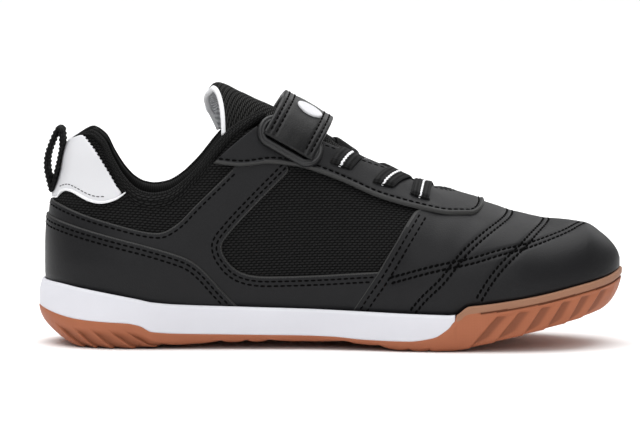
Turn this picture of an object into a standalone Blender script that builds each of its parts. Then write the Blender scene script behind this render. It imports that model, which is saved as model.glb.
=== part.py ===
"""Indoor court shoe, left foot. Toe along +X, inner side towards -Y, floor at z = 0, sizes in mm."""

import math

import bpy
import numpy as np
from mathutils import Vector
from mathutils.geometry import delaunay_2d_cdt

MM = 0.001
HALF = 115.0  # half of the overall length
GAP = 0.3  # air between neighbouring pieces
WALL = 2.0  # upper's wall
LEATHER = 1.1  # thickness of a leather overlay
SHEAR_END = -40.0  # in front of here the heel's lean has no effect
HEEL = -110.7  # upper's back where it bulges most
TOE = 112.8  # upper's tip
THROAT = 46.8  # front end of the throat
MIDSOLE_FRONT = 47.0
# Columns that the outsole and the midsole share along their joint.
JOINT_X = (-78.5, -75, -72.5, -70, -66, -60, -50, -38, -26, -14, -2)
JOINT_X += (8, 17, 25, 31, 36, 40, 43, 45, 46.2, 46.6)
STRAP_WIDTH = 22.0
STRAP_THICK = 2.2
LACE_WIDTH = 8.0
LACE_THICK = 1.8


def smooth(keys, values):
    """A curve through the values that never overshoots: cubic pieces with harmonic mean slopes."""
    step = np.diff(keys)
    rise = np.diff(values) / step
    slope = np.concatenate([rise[:1], np.zeros(len(rise) - 1), rise[-1:]])
    same = rise[:-1] * rise[1:] > 0
    inner = 2 * rise[:-1] * rise[1:] / np.where(same, rise[:-1] + rise[1:], 1)
    slope[1:-1] = np.where(same, inner, 0)

    def at(q):
        q = np.clip(np.asarray(q, float), keys[0], keys[-1])
        i = np.clip(np.searchsorted(keys, q, side="right") - 1, 0, len(step) - 1)
        t = (q - keys[i]) / step[i]
        a = values[i] * (1 + 2 * t) + slope[i] * step[i] * t
        b = values[i + 1] * (3 - 2 * t) + slope[i + 1] * step[i] * (t - 1)
        return a * (1 - t) ** 2 + b * t**2

    return at


class Stations:
    """A table with named columns. Each column is a smooth function of the first one."""

    def __init__(self, names, rows):
        grid = np.array(rows, float)
        self.keys = grid[:, 0]
        for name, column in zip(names.split()[1:], grid[:, 1:].T):
            setattr(self, name, smooth(grid[:, 0], column))


SOLE_PLAN = Stations(
    "x medial lateral centre rim",
    [
        (-115, 31.0, 32.0, 0.0, 2.6),
        (-80, 31.0, 32.4, 0.0, 2.6),
        (-45, 29.5, 34.8, 0.0, 2.6),
        (-15, 29.5, 36.8, 0.0, 2.6),
        (10, 34.0, 40.3, 0.0, 2.6),
        (30, 39.5, 42.5, 0.0, 2.6),
        (55, 42.5, 41.0, 0.0, 2.6),
        (80, 41.5, 37.5, -0.8, 2.4),
        (100, 40.0, 35.5, -2.6, 2.0),
        (115, 38.5, 34.0, -4.0, 1.6),
    ],
)
SOLE_SIDE = Stations(
    "x bottom joint rim bed",
    [
        (-115, 0.0, 15.6, 25.4, 20.5),
        (-107, 0.0, 13.2, 24.8, 20.3),
        (-100, 0.0, 11.9, 23.8, 20.0),
        (-90, 0.0, 11.1, 22.2, 19.2),
        (-80, 0.0, 10.6, 20.4, 18.0),
        (-75, 0.1, 9.6, 19.4, 17.4),
        (-70, 0.5, 7.2, 18.3, 16.6),
        (-60, 1.4, 6.5, 17.4, 15.5),
        (-35, 2.6, 6.1, 16.5, 14.3),
        (0, 2.9, 5.6, 15.5, 13.4),
        (14, 2.0, 4.6, 15.1, 13.0),
        (26, 0.3, 4.4, 14.8, 12.7),
        (30, 0.0, 4.4, 14.7, 12.6),
        (40, 0.0, 5.9, 14.5, 12.5),
        (46, 0.3, 9.6, 14.4, 12.4),
        (48.5, 0.5, 12.4, 14.6, 12.5),
        (54, 1.3, 12.6, 18.0, 12.6),
        (60, 2.7, 12.9, 18.7, 13.0),
        (82, 8.0, 14.6, 22.1, 15.2),
        (97, 11.8, 17.0, 25.3, 17.6),
        (110, 15.6, 19.8, 28.3, 20.4),
        (115, 17.6, 21.0, 30.4, 21.6),
    ],
)
RIBS = Stations(
    "top low",
    [
        (-115, -115),
        (-110, -100),
        (-102.5, -93.5),
        (-95.5, -86),
        (-88.5, -77),
        (-82, -68),
        (-70, -57),
        (-50, -44),
        (-20, -20),
        (30, 24),
        (52, 42),
        (65.7, 54),
        (74.4, 63.7),
        (83, 75.5),
        (91.3, 84.6),
        (98.8, 93.7),
        (106.7, 101),
        (115, 115),
    ],
)
HEEL_RIBS = (-110, -102.5, -95.5, -88.5, -82)
TOE_RIBS = (65.7, 74.4, 83, 91.3, 98.8, 106.7)
RIB_DEPTH = 0.9
HEEL_BACK = Stations(
    "z x",
    [
        (16, -109.8), (27, -110.7), (38, -110.7), (52, -110.0), (58, -109.0),
        (62, -107.2), (74, -103.6), (84, -99.6),
    ],
)
LAST = Stations(
    "x medial lateral centre wide ridge n m",
    [
        (-112, 28.0, 28.6, 0.0, 34, 141, 1.2, 1.0),
        (-80, 28.0, 28.9, 0.0, 34, 141, 1.2, 1.0),
        (-60, 27.6, 30.2, 0.0, 34, 125, 1.5, 1.1),
        (-40, 27.2, 31.8, 0.0, 34, 107, 2.0, 2.5),
        (-20, 27.2, 33.0, 0.0, 32, 96, 2.0, 2.4),
        (0, 29.2, 35.4, 0.0, 30, 85, 2.0, 1.9),
        (12, 31.6, 37.2, 0.0, 29, 76.6, 2.0, 1.9),
        (20, 33.8, 38.2, 0.0, 28, 72.2, 2.0, 1.9),
        (33, 37.2, 38.8, 0.0, 26.8, 64.4, 2.1, 1.95),
        (46, 39.2, 38.5, 0.0, 25.6, 58.6, 2.2, 2.0),
        (60, 39.6, 37.2, 0.0, 25, 54.4, 2.2, 2.0),
        (73, 39.4, 36.0, -0.4, 25, 50.4, 2.2, 2.0),
        (82, 38.4, 34.2, -0.9, 25.4, 48.4, 2.2, 2.0),
        (100, 37.0, 32.4, -2.6, 27, 46.4, 2.2, 2.1),
        (106.3, 36.4, 31.8, -3.3, 27.6, 42.4, 2.2, 2.1),
        (110.3, 36.0, 31.4, -3.7, 28, 38.6, 2.2, 2.1),
        (112.2, 36.0, 31.2, -3.9, 28, 35.6, 2.2, 2.1),
        (112.8, 36.0, 31.2, -4.0, 28, 33.6, 2.2, 2.1),
    ],
)
COLLAR = Stations(
    "x edge height",
    [
        (-112, 80.5, 3.2),
        (-104.5, 84.2, 3.3),
        (-98, 81.5, 3.8),
        (-91, 74.2, 4.8),
        (-85.4, 68, 5.6),
        (-80, 63.5, 6.2),
        (-75.5, 61.4, 6.6),
        (-71, 60.7, 6.8),
        (-66, 61.4, 6.8),
        (-62, 63.3, 6.8),
        (-54, 70.4, 6.6),
        (-45.6, 80, 6.2),
        (-38, 86.8, 5.6),
        (-30, 91.5, 5.0),
        (-20, 95, 5.0),
    ],
)
COLLAR_FRONT = -27.0
THROAT_HALF = Stations(
    "x half",
    [
        (-34, 20), (-24, 16.6), (-12, 14.6), (0, 13.6), (12, 12.4),
        (20, 11.4), (33, 9.4), (40, 7.4), (44.5, 4.6), (46.8, 0),
    ],
)
TONGUE = Stations(
    "x ridge half drop thick",
    [
        (-47, 103.0, 17.0, 20.0, 5.0),
        (-42, 101.6, 15.8, 18.6, 5.0),
        (-35, 98.8, 13.8, 16.0, 4.8),
        (-30, 96.6, 12.8, 14.0, 4.6),
        (-15, 89.4, 12.4, 10.5, 4.0),
        (0, 80.8, 12.8, 8.5, 3.6),
        (20, 67.6, 12.4, 6.5, 3.2),
        (38, 57.6, 10.5, 4.0, 3.0),
        (46, 55.6, 9.0, 2.6, 2.6),
        (52, 54.3, 8.0, 2.2, 2.4),
    ],
)
STRAP_ARCH = Stations(
    "y height",
    [
        (-25.5, 60.4), (-23.5, 63.6), (-20, 68.2), (-15, 72.6), (-8, 76.2),
        (0, 77.6), (8, 76.8), (15, 75.0), (21, 71.2), (26, 66.4),
        (30, 61.0), (33.5, 54.8),
    ],
)


def superellipse_end(x, tip, reach, power):
    """Closes an end: 0 at the tip, 1 from reach inwards, a superellipse in between."""
    d = np.clip(1 - np.abs(x - tip) / reach, 0, 1)
    return np.maximum(1 - d**power, 0) ** (1 / power)


def wrap(q):
    """Runs q round the plan: 0 at the heel, negative inside, positive outside, +1 and -1 both the toe."""
    return (np.asarray(q, float) + 1) % 2 - 1


def to_q(x, back=-HALF, front=HALF):
    """The q, from 0 to 1, at which the plan between two tips has reached x."""
    mid, half = (front + back) / 2, (front - back) / 2
    return np.arccos(np.clip((mid - np.asarray(x, float)) / half, -1, 1)) / math.pi


def sole_plan(q):
    """Sole's outline (x, y) at q."""
    q = wrap(q)
    x = -HALF * np.cos(math.pi * q)
    end = superellipse_end(x, -HALF, 36, 2.1) * superellipse_end(x, HALF, 50, 2.05)
    half = np.where(q < 0, -SOLE_PLAN.medial(x), SOLE_PLAN.lateral(x))
    return np.stack([x, SOLE_PLAN.centre(x) + half * end], -1)


def sole_inset(q, inset):
    """The outline moved inwards along its own normal, and the normal."""
    along = sole_plan(q + 1e-4) - sole_plan(q - 1e-4)
    along /= np.linalg.norm(along, axis=-1, keepdims=True)
    normal = np.stack([-along[..., 1], along[..., 0]], -1)
    return sole_plan(q) - normal * np.asarray(inset)[..., None], normal


def upper_at(q, z):
    """Point of the upper's outside at plan position q and height z: a section that leans with the heel."""
    q = wrap(q)
    z = np.asarray(z, float)
    mid, half = (TOE + HEEL) / 2, (TOE - HEEL) / 2
    x = mid - half * np.cos(math.pi * q)
    end = superellipse_end(x, HEEL, 34, 2.1) * superellipse_end(x, TOE, 48, 2.05)
    reach = np.where(q < 0, -LAST.medial(x), LAST.lateral(x)) * end
    wide, ridge, feather = LAST.wide(x), LAST.ridge(x), feather_at(x)
    over = np.clip((z - wide) / (ridge - wide), 0, 1)
    under = np.clip((wide - z) / (wide - feather), 0, 1)
    shape = np.maximum(1 - over ** LAST.n(x), 0) ** (1 / LAST.m(x)) * (1 - 0.06 * under**2)
    lean = (SHEAR_END - HEEL_BACK.x(z)) / (SHEAR_END - HEEL)
    leaned = np.where(x < SHEAR_END, SHEAR_END - (SHEAR_END - x) * lean, x)
    return np.stack(np.broadcast_arrays(leaned, LAST.centre(x) + reach * shape, z), -1)


def feather_at(x):
    """Height of the upper's lower edge, just over the footbed."""
    return SOLE_SIDE.bed(x) + GAP


def upper_x(q):
    return (TOE + HEEL) / 2 - (TOE - HEEL) / 2 * np.cos(math.pi * wrap(q))


def upper_q(x):
    return to_q(x, HEEL, TOE)


def plan_x(x, z):
    """Undoes the heel's lean: the plan station of a point seen at x and z."""
    lean = (SHEAR_END - HEEL_BACK.x(z)) / (SHEAR_END - HEEL)
    x = np.asarray(x, float)
    return np.where(x < SHEAR_END, SHEAR_END - (SHEAR_END - x) / lean, x)


def section(q):
    """The whole section at one q, from feather to ridge: heights and the length run along it."""
    x = float(upper_x(q))
    low = np.linspace(feather_at(x), LAST.wide(x), 12)
    high = LAST.wide(x) + (LAST.ridge(x) - LAST.wide(x)) * np.sin(np.linspace(0, math.pi / 2, 80)[1:])
    z = np.concatenate([low, high])
    points = upper_at(np.full(len(z), q), z)
    run = np.concatenate([[0], np.cumsum(np.linalg.norm(np.diff(points[:, 1:], axis=0), axis=1))])
    return z, run


def height_of(q, r):
    """Height at girth r: 0 on the ridge, 1 on the feather edge."""
    z, run = section(q)
    return np.interp((1 - r) * run[-1], run, z)


def girth_of(q, z):
    """Girth r at a height."""
    heights, run = section(q)
    return 1 - np.interp(z, heights, run) / run[-1]


def skin(q, r):
    """Upper's outside by girth. A negative r is the other side of the ridge."""
    q, r = np.broadcast_arrays(np.asarray(q, float), np.asarray(r, float))
    side = np.where(r < 0, -q, q)
    z = np.array([height_of(a, min(abs(b), 1)) for a, b in zip(side.ravel(), r.ravel())])
    return upper_at(side, z.reshape(side.shape))


def outward(point, u, v, du, dv):
    """Unit normals of a surface given by a function of two numbers, pointing away from the foot."""
    across = np.cross(point(u + du, v) - point(u - du, v), point(u, v + dv) - point(u, v - dv))
    size = np.linalg.norm(across, axis=-1, keepdims=True)
    middle = point(u, v)
    inside = [np.clip(middle[..., 0], -75, 75), 0 * middle[..., 1], np.full(middle[..., 2].shape, 34.0)]
    heart = np.stack(inside, -1)
    away = (middle - heart) / np.linalg.norm(middle - heart, axis=-1, keepdims=True)
    across = np.where(size > 1e-8, across / np.maximum(size, 1e-8), away)
    return np.where(np.sum(across * away, -1, keepdims=True) < 0, -across, across)


def throat_height(q):
    """Height of the throat's edge, from its half-width."""
    x = upper_x(q)
    reach = np.where(wrap(q) < 0, LAST.medial(x), LAST.lateral(x))
    over = np.maximum(1 - (THROAT_HALF.half(x) / reach) ** LAST.m(x), 0) ** (1 / LAST.n(x))
    return LAST.wide(x) + (LAST.ridge(x) - LAST.wide(x)) * over


def top_edge(q):
    """Height of the upper's top edge: under the collar roll, along the throat, then the closed ridge."""
    x = upper_x(q)
    collar = COLLAR.edge(x) - COLLAR.height(x) - 1.2
    opened = np.where(x < -34, collar, np.minimum(collar, throat_height(q)))
    return np.where(x < THROAT, opened, LAST.ridge(x))


def material(name, colour, roughness):
    made = bpy.data.materials.new(name)
    made.use_nodes = True
    shader = made.node_tree.nodes["Principled BSDF"]
    shader.inputs["Base Color"].default_value = (*colour, 1)
    shader.inputs["Roughness"].default_value = roughness
    made.diffuse_color = (*colour, 1)
    return made


BLACK_LEATHER = ((0.022, 0.022, 0.024), 0.5)
BLACK_KNIT = ((0.012, 0.012, 0.013), 0.9)
WHITE_FOAM = ((0.78, 0.78, 0.80), 0.6)
WHITE_LEATHER = ((0.82, 0.82, 0.83), 0.5)
GUM = ((0.45, 0.20, 0.11), 0.65)
GREY_FELT = ((0.10, 0.10, 0.11), 0.95)


def solid(name, points, faces, finish):
    """Welds points that coincide, drops what collapses, and adds the object."""
    points = np.asarray(points, float)
    _, first, index = np.unique(np.round(points, 4), axis=0, return_index=True, return_inverse=True)
    index = index.reshape(-1)
    kept = []
    for face in faces:
        ring = [int(index[i]) for i in face]
        ring = [a for k, a in enumerate(ring) if a != ring[k - 1]]
        if len(set(ring)) > 2:
            kept.append(ring)
    mesh = bpy.data.meshes.new(name)
    mesh.from_pydata((points[first] * MM).tolist(), [], kept)
    mesh.validate()
    made = bpy.data.objects.new(name, mesh)
    mesh.materials.append(material(name, *finish))
    bpy.context.scene.collection.objects.link(made)
    return made


def grid_faces(rows, columns, start=0):
    """Quads of a grid whose points are stored row by row."""
    i, j = np.meshgrid(np.arange(rows - 1), np.arange(columns - 1), indexing="ij")
    a = start + i * columns + j
    return np.stack([a, a + 1, a + columns + 1, a + columns], -1).reshape(-1, 4)


def thick_sheet(name, base, normal, faces, low, high, finish):
    """A closed solid between two offsets of a surface. Its rim joins the edges that one face uses."""
    base, normal = base.reshape(-1, 3), normal.reshape(-1, 3)
    _, index = np.unique(np.round(base, 4), axis=0, return_inverse=True)
    index = index.reshape(-1)
    pooled = np.zeros((index.max() + 1, 3))
    np.add.at(pooled, index, normal)
    place = np.zeros_like(pooled)
    place[index] = base
    pooled /= np.maximum(np.linalg.norm(pooled, axis=1, keepdims=True), 1e-9)
    count = len(place)
    rings = []
    for face in faces:
        ring = [int(index[i]) for i in face]
        ring = [a for k, a in enumerate(ring) if a != ring[k - 1]]
        if len(set(ring)) > 2:
            rings.append(ring)
    first = place[rings[0]]
    turn = np.dot(np.cross(first[1] - first[0], first[2] - first[0]), pooled[rings[0][0]])
    rings = rings if turn > 0 else [ring[::-1] for ring in rings]
    used = {(a, ring[(k + 1) % len(ring)]) for ring in rings for k, a in enumerate(ring)}
    rim = [[b, a, a + count, b + count] for a, b in used if (b, a) not in used]
    points = np.concatenate([place + pooled * high, place + pooled * low])
    backs = [[a + count for a in ring[::-1]] for ring in rings]
    return solid(name, points, rings + backs + sorted(rim), finish)


def spline(points, step):
    """Catmull-Rom curve through points, cut into pieces of about one step."""
    p = np.array(points, float)
    p = np.vstack([2 * p[0] - p[1], p, 2 * p[-1] - p[-2]])
    out = []
    for a, b, c, d in zip(p[:-3], p[1:-2], p[2:-1], p[3:]):
        n = max(1, int(round(np.linalg.norm(c - b) / step)))
        t = np.arange(n)[:, None] / n
        square, cube = 2 * a - 5 * b + 4 * c - d, 3 * b - a - 3 * c + d
        out.append(0.5 * (2 * b + (c - a) * t + square * t**2 + cube * t**3))
    return np.vstack(out + [p[-2:-1]])


def outline(*edges, step=4.2):
    """Joins edges, each a list of (x, z) seen from the side, into one closed line."""
    return np.vstack([spline(edge, step)[:-1] for edge in edges])


SPREAD = 280.0  # mm of flat pattern for one side of the plan


def panel(name, sides, finish, spacing=5.8, lift=GAP + 0.15, thick=LEATHER):
    """Leather cut to a side-view outline and laid on the upper. sides is -1, 1, or 0 to wrap the heel."""
    x, z, side = sides[:, 0], sides[:, 1], sides[:, 2]
    flat = np.stack([side * upper_q(plan_x(x, z)) * SPREAD, z], -1)
    points, faces = filled(divided(flat, spacing), spacing)
    q, height = points[:, 0] / SPREAD, points[:, 1]
    base = upper_at(q, height)
    normal = outward(upper_at, q, height, 1e-4, 0.05)
    return thick_sheet(name, base, normal, faces, lift, lift + thick, finish)


def divided(line, longest):
    """The closed line with its long edges cut into equal parts."""
    out = []
    for a, b in zip(line, np.roll(line, -1, axis=0)):
        count = max(1, math.ceil(np.linalg.norm(b - a) / longest))
        out.append(a + (b - a) * np.arange(count)[:, None] / count)
    return np.vstack(out)


def filled(line, spacing):
    """Triangles inside a closed flat line, with extra points on a square grid so that they can bend."""
    low, high = line.min(0), line.max(0)
    columns, levels = np.arange(low[0], high[0], spacing), np.arange(low[1], high[1], spacing)
    mesh_x, mesh_y = np.meshgrid(columns, levels)
    inner = np.stack([mesh_x.ravel(), mesh_y.ravel()], -1)
    inner = np.array([p for p in inner if clear_inside(p, line, 0.45 * spacing)]).reshape(-1, 2)
    count = len(line)
    vertices = [Vector(p) for p in np.vstack([line, inner])]
    edges = [(i, (i + 1) % count) for i in range(count)]
    made = delaunay_2d_cdt(vertices, edges, [list(range(count))], 1, 1e-5)
    return np.array([tuple(v) for v in made[0]]), made[2]


def clear_inside(point, polygon, margin):
    """True for a point inside the polygon and at least margin from its edge."""
    a, b = polygon, np.roll(polygon, -1, axis=0)
    crosses = (a[:, 1] > point[1]) != (b[:, 1] > point[1])
    at = a[:, 0] + (point[1] - a[:, 1]) * (b[:, 0] - a[:, 0]) / np.where(crosses, b[:, 1] - a[:, 1], 1)
    if not np.sum(crosses & (point[0] < at)) % 2:
        return False
    along = np.clip(np.sum((point - a) * (b - a), 1) / np.sum((b - a) ** 2, 1), 0, 1)
    return np.linalg.norm(a + along[:, None] * (b - a) - point, axis=1).min() > margin


def one_side(edge_points, side):
    return np.column_stack([edge_points, np.full(len(edge_points), side)])


def both_sides(edge_points):
    """A line that starts and ends at the heel's back, closed through its mirror image."""
    return np.vstack([one_side(edge_points, 1), one_side(edge_points[-2:0:-1], -1)])


def rim_line(first, last, count):
    """Points just over the sole's rim."""
    x = np.linspace(first, last, count)
    return [(a, SOLE_SIDE.rim(a) + 0.5) for a in x]


def ring_solid(name, s, rows, finish, front=None):
    """A cup from rows of rings, from the floor inside to the underside. Both are filled straight across."""
    q = np.concatenate([-s[::-1], s[1:]])
    columns = len(q)
    points = np.stack([row(q) for row in rows])
    if front is not None:
        points[:, [0, -1], 0] = front
    faces = [list(f) for f in grid_faces(len(rows), columns)]
    middle = len(s) - 1
    for row, order in ((0, -1), (len(rows) - 1, 1)):
        for k in range(middle):
            quad = [middle - k, middle + k, middle + k + 1, middle - k - 1]
            faces.append([row * columns + i for i in quad[::order]])
    if front is not None:
        side = [k * columns for k in range(len(rows))]
        faces.append(side + [k + columns - 1 for k in side[::-1]])
    return solid(name, points.reshape(-1, 3), faces, finish)


def sole_row(inset, height, low=0.0):
    """One ring of the sole. low is 0 where the ribs start and 1 at the ground, where they end."""

    def row(q):
        start = sole_plan(q)[:, 0]
        x = start + (RIBS.low(start) - start) * low
        moved = np.sign(q) * to_q(x)
        moved = np.where(np.abs(q) > 0.9999, q, moved)
        depth = inset(x, start, sole_inset(moved, 0 * moved)[1])
        flat = sole_inset(moved, depth)[0]
        return np.column_stack([flat, height(flat[:, 0], start)])

    return row


def rib(start):
    """Saw-tooth depth of the ribs by the station of their top ends, 0 between the two sets of ribs."""
    depth = np.zeros_like(start)
    for ends, last in ((HEEL_RIBS, -75.0), (TOE_RIBS, 112.5)):
        edges = list(ends) + [last]
        for a, b in zip(edges[:-1], edges[1:]):
            here = (start > a + 0.3) & (start <= b)
            depth = np.where(here, (b - start) / (b - a), depth)
    return depth * RIB_DEPTH


def rounding(normal):
    """How far the sole's underside draws in: a little at the sides, more at the toe, most at the heel."""
    back, front = np.maximum(-normal[:, 0], 0), np.maximum(normal[:, 0], 0)
    return 4.2 + 19.5 * back**3 + 4.0 * front**3


def build_outsole():
    def lip(x, start):
        return np.where(start < MIDSOLE_FRONT + 0.5, SOLE_SIDE.joint(x), SOLE_SIDE.rim(x))

    def floor(x, start):
        return np.where(start < MIDSOLE_FRONT + 0.5, SOLE_SIDE.joint(x), SOLE_SIDE.bed(x))

    def wall(level, low):
        drawn = 1 - math.sqrt(1 - (1 - level) ** 2)

        def inset(x, start, normal):
            return rounding(normal) * drawn + rib(start) * min(1, low * 2)

        def height(x, start):
            return SOLE_SIDE.bottom(x) + (lip(x, start) - SOLE_SIDE.bottom(x)) * level

        return sole_row(inset, height, low)

    rows = [
        sole_row(lambda x, start, n: SOLE_PLAN.rim(x) + 0.4, floor),
        sole_row(lambda x, start, n: SOLE_PLAN.rim(x), lip),
        sole_row(lambda x, start, n: 0 * x + 0.5, lip),
        sole_row(lambda x, start, n: 0 * x, lambda x, start: lip(x, start) - 0.7),
        wall(0.72, 0.0),
        wall(0.5, 0.3),
        wall(0.26, 0.62),
        wall(0.08, 0.88),
        wall(0.0, 1.0),
    ]
    x = [-HALF, -114.2, -112]
    for ends, last in ((HEEL_RIBS, -75.0), (TOE_RIBS, 112.5)):
        edges = list(ends) + [last]
        for a, b in zip(edges[:-1], edges[1:]):
            x += [a, a + 0.7] + [(a + b) / 2] * (a < -90 or a > 85)
        x.append(last)
    x += list(JOINT_X) + [MIDSOLE_FRONT + 0.4, MIDSOLE_FRONT + 0.8, 50, 54, 59, 114.2, HALF]
    ring_solid("outsole", to_q(np.unique(x)), rows, GUM)


def build_midsole():
    def wall(inset, level):
        def height(x, start):
            low = SOLE_SIDE.joint(x) + GAP + 0.1
            return low + (SOLE_SIDE.rim(x) - low) * level

        return sole_row(lambda x, start, n: 0 * x + inset, height)

    rows = [
        sole_row(lambda x, start, n: SOLE_PLAN.rim(x) + 0.4, lambda x, start: SOLE_SIDE.bed(x)),
        sole_row(lambda x, start, n: SOLE_PLAN.rim(x), lambda x, start: SOLE_SIDE.rim(x)),
        sole_row(lambda x, start, n: 0 * x + 0.7, lambda x, start: SOLE_SIDE.rim(x)),
        wall(0.1, 0.88),
        wall(0.0, 0.45),
        wall(0.1, 0.0),
    ]
    x = np.concatenate([-HALF * np.cos(np.linspace(0, 0.76, 10)), JOINT_X, [MIDSOLE_FRONT]])
    ring_solid("midsole", to_q(x), rows, WHITE_FOAM, front=MIDSOLE_FRONT)


def build_insole():
    def row(lift):
        return sole_row(lambda x, start, n: 0 * x + 8.8, lambda x, start: SOLE_SIDE.bed(x) + lift)

    s = np.linspace(0, 1, 27)
    ring_solid("insole", s, [row(3.0), row(1.6), row(GAP)], GREY_FELT)


def build_upper():
    x = HEEL + (TOE - HEEL) / 2 * (1 - np.cos(math.pi * np.linspace(0, 1, 30)))
    x = np.sort(np.concatenate([x, [THROAT, THROAT - 1.0, THROAT - 3.5]]))
    s = upper_q(x)
    q = np.concatenate([-s[::-1], s[1:]])
    levels = np.linspace(0, 1, 9)
    top = np.array([girth_of(a, float(top_edge(a))) for a in q])
    r = 1 - levels[:, None] * (1 - top)
    grid_q = np.broadcast_to(q, r.shape)
    base = skin(grid_q, r)
    normal = outward(skin, grid_q, r, 2e-4, 2e-3)
    thick_sheet("upper", base, normal, grid_faces(*r.shape), -WALL, 0.0, BLACK_KNIT)


EYESTAY = Stations(
    "step outer_x outer_z inner_x",
    [
        (0, -44.0, 72.4, -28.4),
        (1, -35, 71.4, -24.5),
        (2, -25, 72.2, -19),
        (3, -13.6, 71.0, -11),
        (4, 0, 66.6, 0),
        (5, 20, 58.2, 17),
        (6, 34, 54.2, 31),
        (7, 47, 51.6, 41.5),
        (8, 54, 51.4, 45),
    ],
)
EYESTAY_NOSE = ((58.6, 0.18), (60.2, 0.0))  # x and girth where the front end rounds over the ridge


def build_eyestay():
    step = np.linspace(0, 8, 20)
    outer_q = upper_q(EYESTAY.outer_x(step))
    outer_r = np.array([girth_of(-a, float(z)) for a, z in zip(outer_q, EYESTAY.outer_z(step))])
    inner_q = upper_q(EYESTAY.inner_x(step))
    inner_r = np.array([girth_of(-a, float(throat_height(-a))) for a in inner_q])
    nose_x = [x for x, r in EYESTAY_NOSE]
    outer_q = np.concatenate([outer_q, upper_q(nose_x)])
    outer_r = np.concatenate([outer_r, [r for x, r in EYESTAY_NOSE]])
    inner_q = np.concatenate([inner_q, upper_q([46.3, THROAT])])
    inner_r = np.concatenate([inner_r, [0.06, 0.0]])
    mix = np.linspace(0, 1, 4)[:, None]
    s = outer_q + (inner_q - outer_q) * mix
    r = outer_r + (inner_r - outer_r) * mix
    s = np.concatenate([s, s[:, -2::-1]], 1)
    r = np.concatenate([-r, r[:, -2::-1]], 1)
    base = skin(s, r)
    normal = outward(skin, s, r, 2e-4, 2e-3)
    lift = GAP + 0.25
    thick_sheet("eyestay", base, normal, grid_faces(*s.shape), lift, lift + LEATHER, BLACK_LEATHER)


VAMP_REAR = [(32.5, 53.6), (25.6, 42.0), (19.1, 31.2), (7.9, 15.4)]


def lowest(q):
    """Girth at which the vamp ends, just over the sole's rim."""
    return girth_of(q, float(SOLE_SIDE.rim(upper_x(q) + 1.5)) + 0.8)


def build_vamp():
    half = np.array([0, 0.09, 0.17, 0.24, 0.3, 0.35, 0.41, 0.48, 0.55, 0.62, 0.69, 0.76, 0.83, 0.91, 1])
    w = np.concatenate([-half[::-1], half[1:]])
    u = np.linspace(0, 1, 15)
    step = np.array([8, 7.5, 7, 6.5, 6])
    stay = [(x, girth_of(-upper_q(x), z)) for x, z in zip(EYESTAY.outer_x(step), EYESTAY.outer_z(step))]
    rear = [(x + 1.0, girth_of(-upper_q(x), z)) for x, z in VAMP_REAR[1:]]
    beside_stay = [(x + 0.7, r + 0.02) for x, r in stay]
    beside_nose = [(x + 1.2, r) for x, r in EYESTAY_NOSE]
    edge = np.array(sorted(rear + beside_stay + beside_nose))
    stations = np.linspace(edge[0, 0], edge[-1, 0], 90)
    share = smooth(edge[:, 0], edge[:, 1])(stations) / np.array([lowest(upper_q(x)) for x in stations])
    start = upper_q(np.interp(-np.abs(w), -share, stations))[:, None]
    s = start + (1 - start) * u
    r = w[:, None] * np.array([lowest(a) for a in s.ravel()]).reshape(s.shape)
    base = skin(s, r)
    normal = outward(skin, s, r, 2e-4, 2e-3)
    lift = GAP + 0.4
    thick_sheet("vamp", base, normal, grid_faces(*s.shape), lift, lift + LEATHER, BLACK_LEATHER)


COUNTER_TOP = [
    (-109.8, 51.8), (-105, 48.5), (-97, 45.4), (-83.5, 41.2), (-74.5, 39.0),
    (-65, 36.6), (-57.5, 34.4), (-53, 32), (-48.5, 28.2), (-42.5, 21.6),
    (-38.2, 17.6),
]
SADDLE_TOP = [
    (-109.2, 57.2), (-106, 54.6), (-101, 51.6), (-94, 49.0), (-83.5, 46.2),
    (-74.5, 44.2), (-67, 43.6), (-64, 44.4), (-59, 48.2), (-53, 54.6),
    (-44.8, 63.2), (-37.6, 70.2),
]
WINDOW_BACK = [
    (-17.6, 70.4), (-26, 61.2), (-39.5, 46.6), (-42.6, 42.4), (-42.4, 39.2),
    (-38, 32.8), (-32, 30.0),
]
WINDOW_FOOT = [(-32, 30.0), (-23, 29.4), (-5, 29.8), (17.8, 30.8)]
VAMP_FOOT = [(17.8, 30.8), (7.6, 16.4)]


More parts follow.
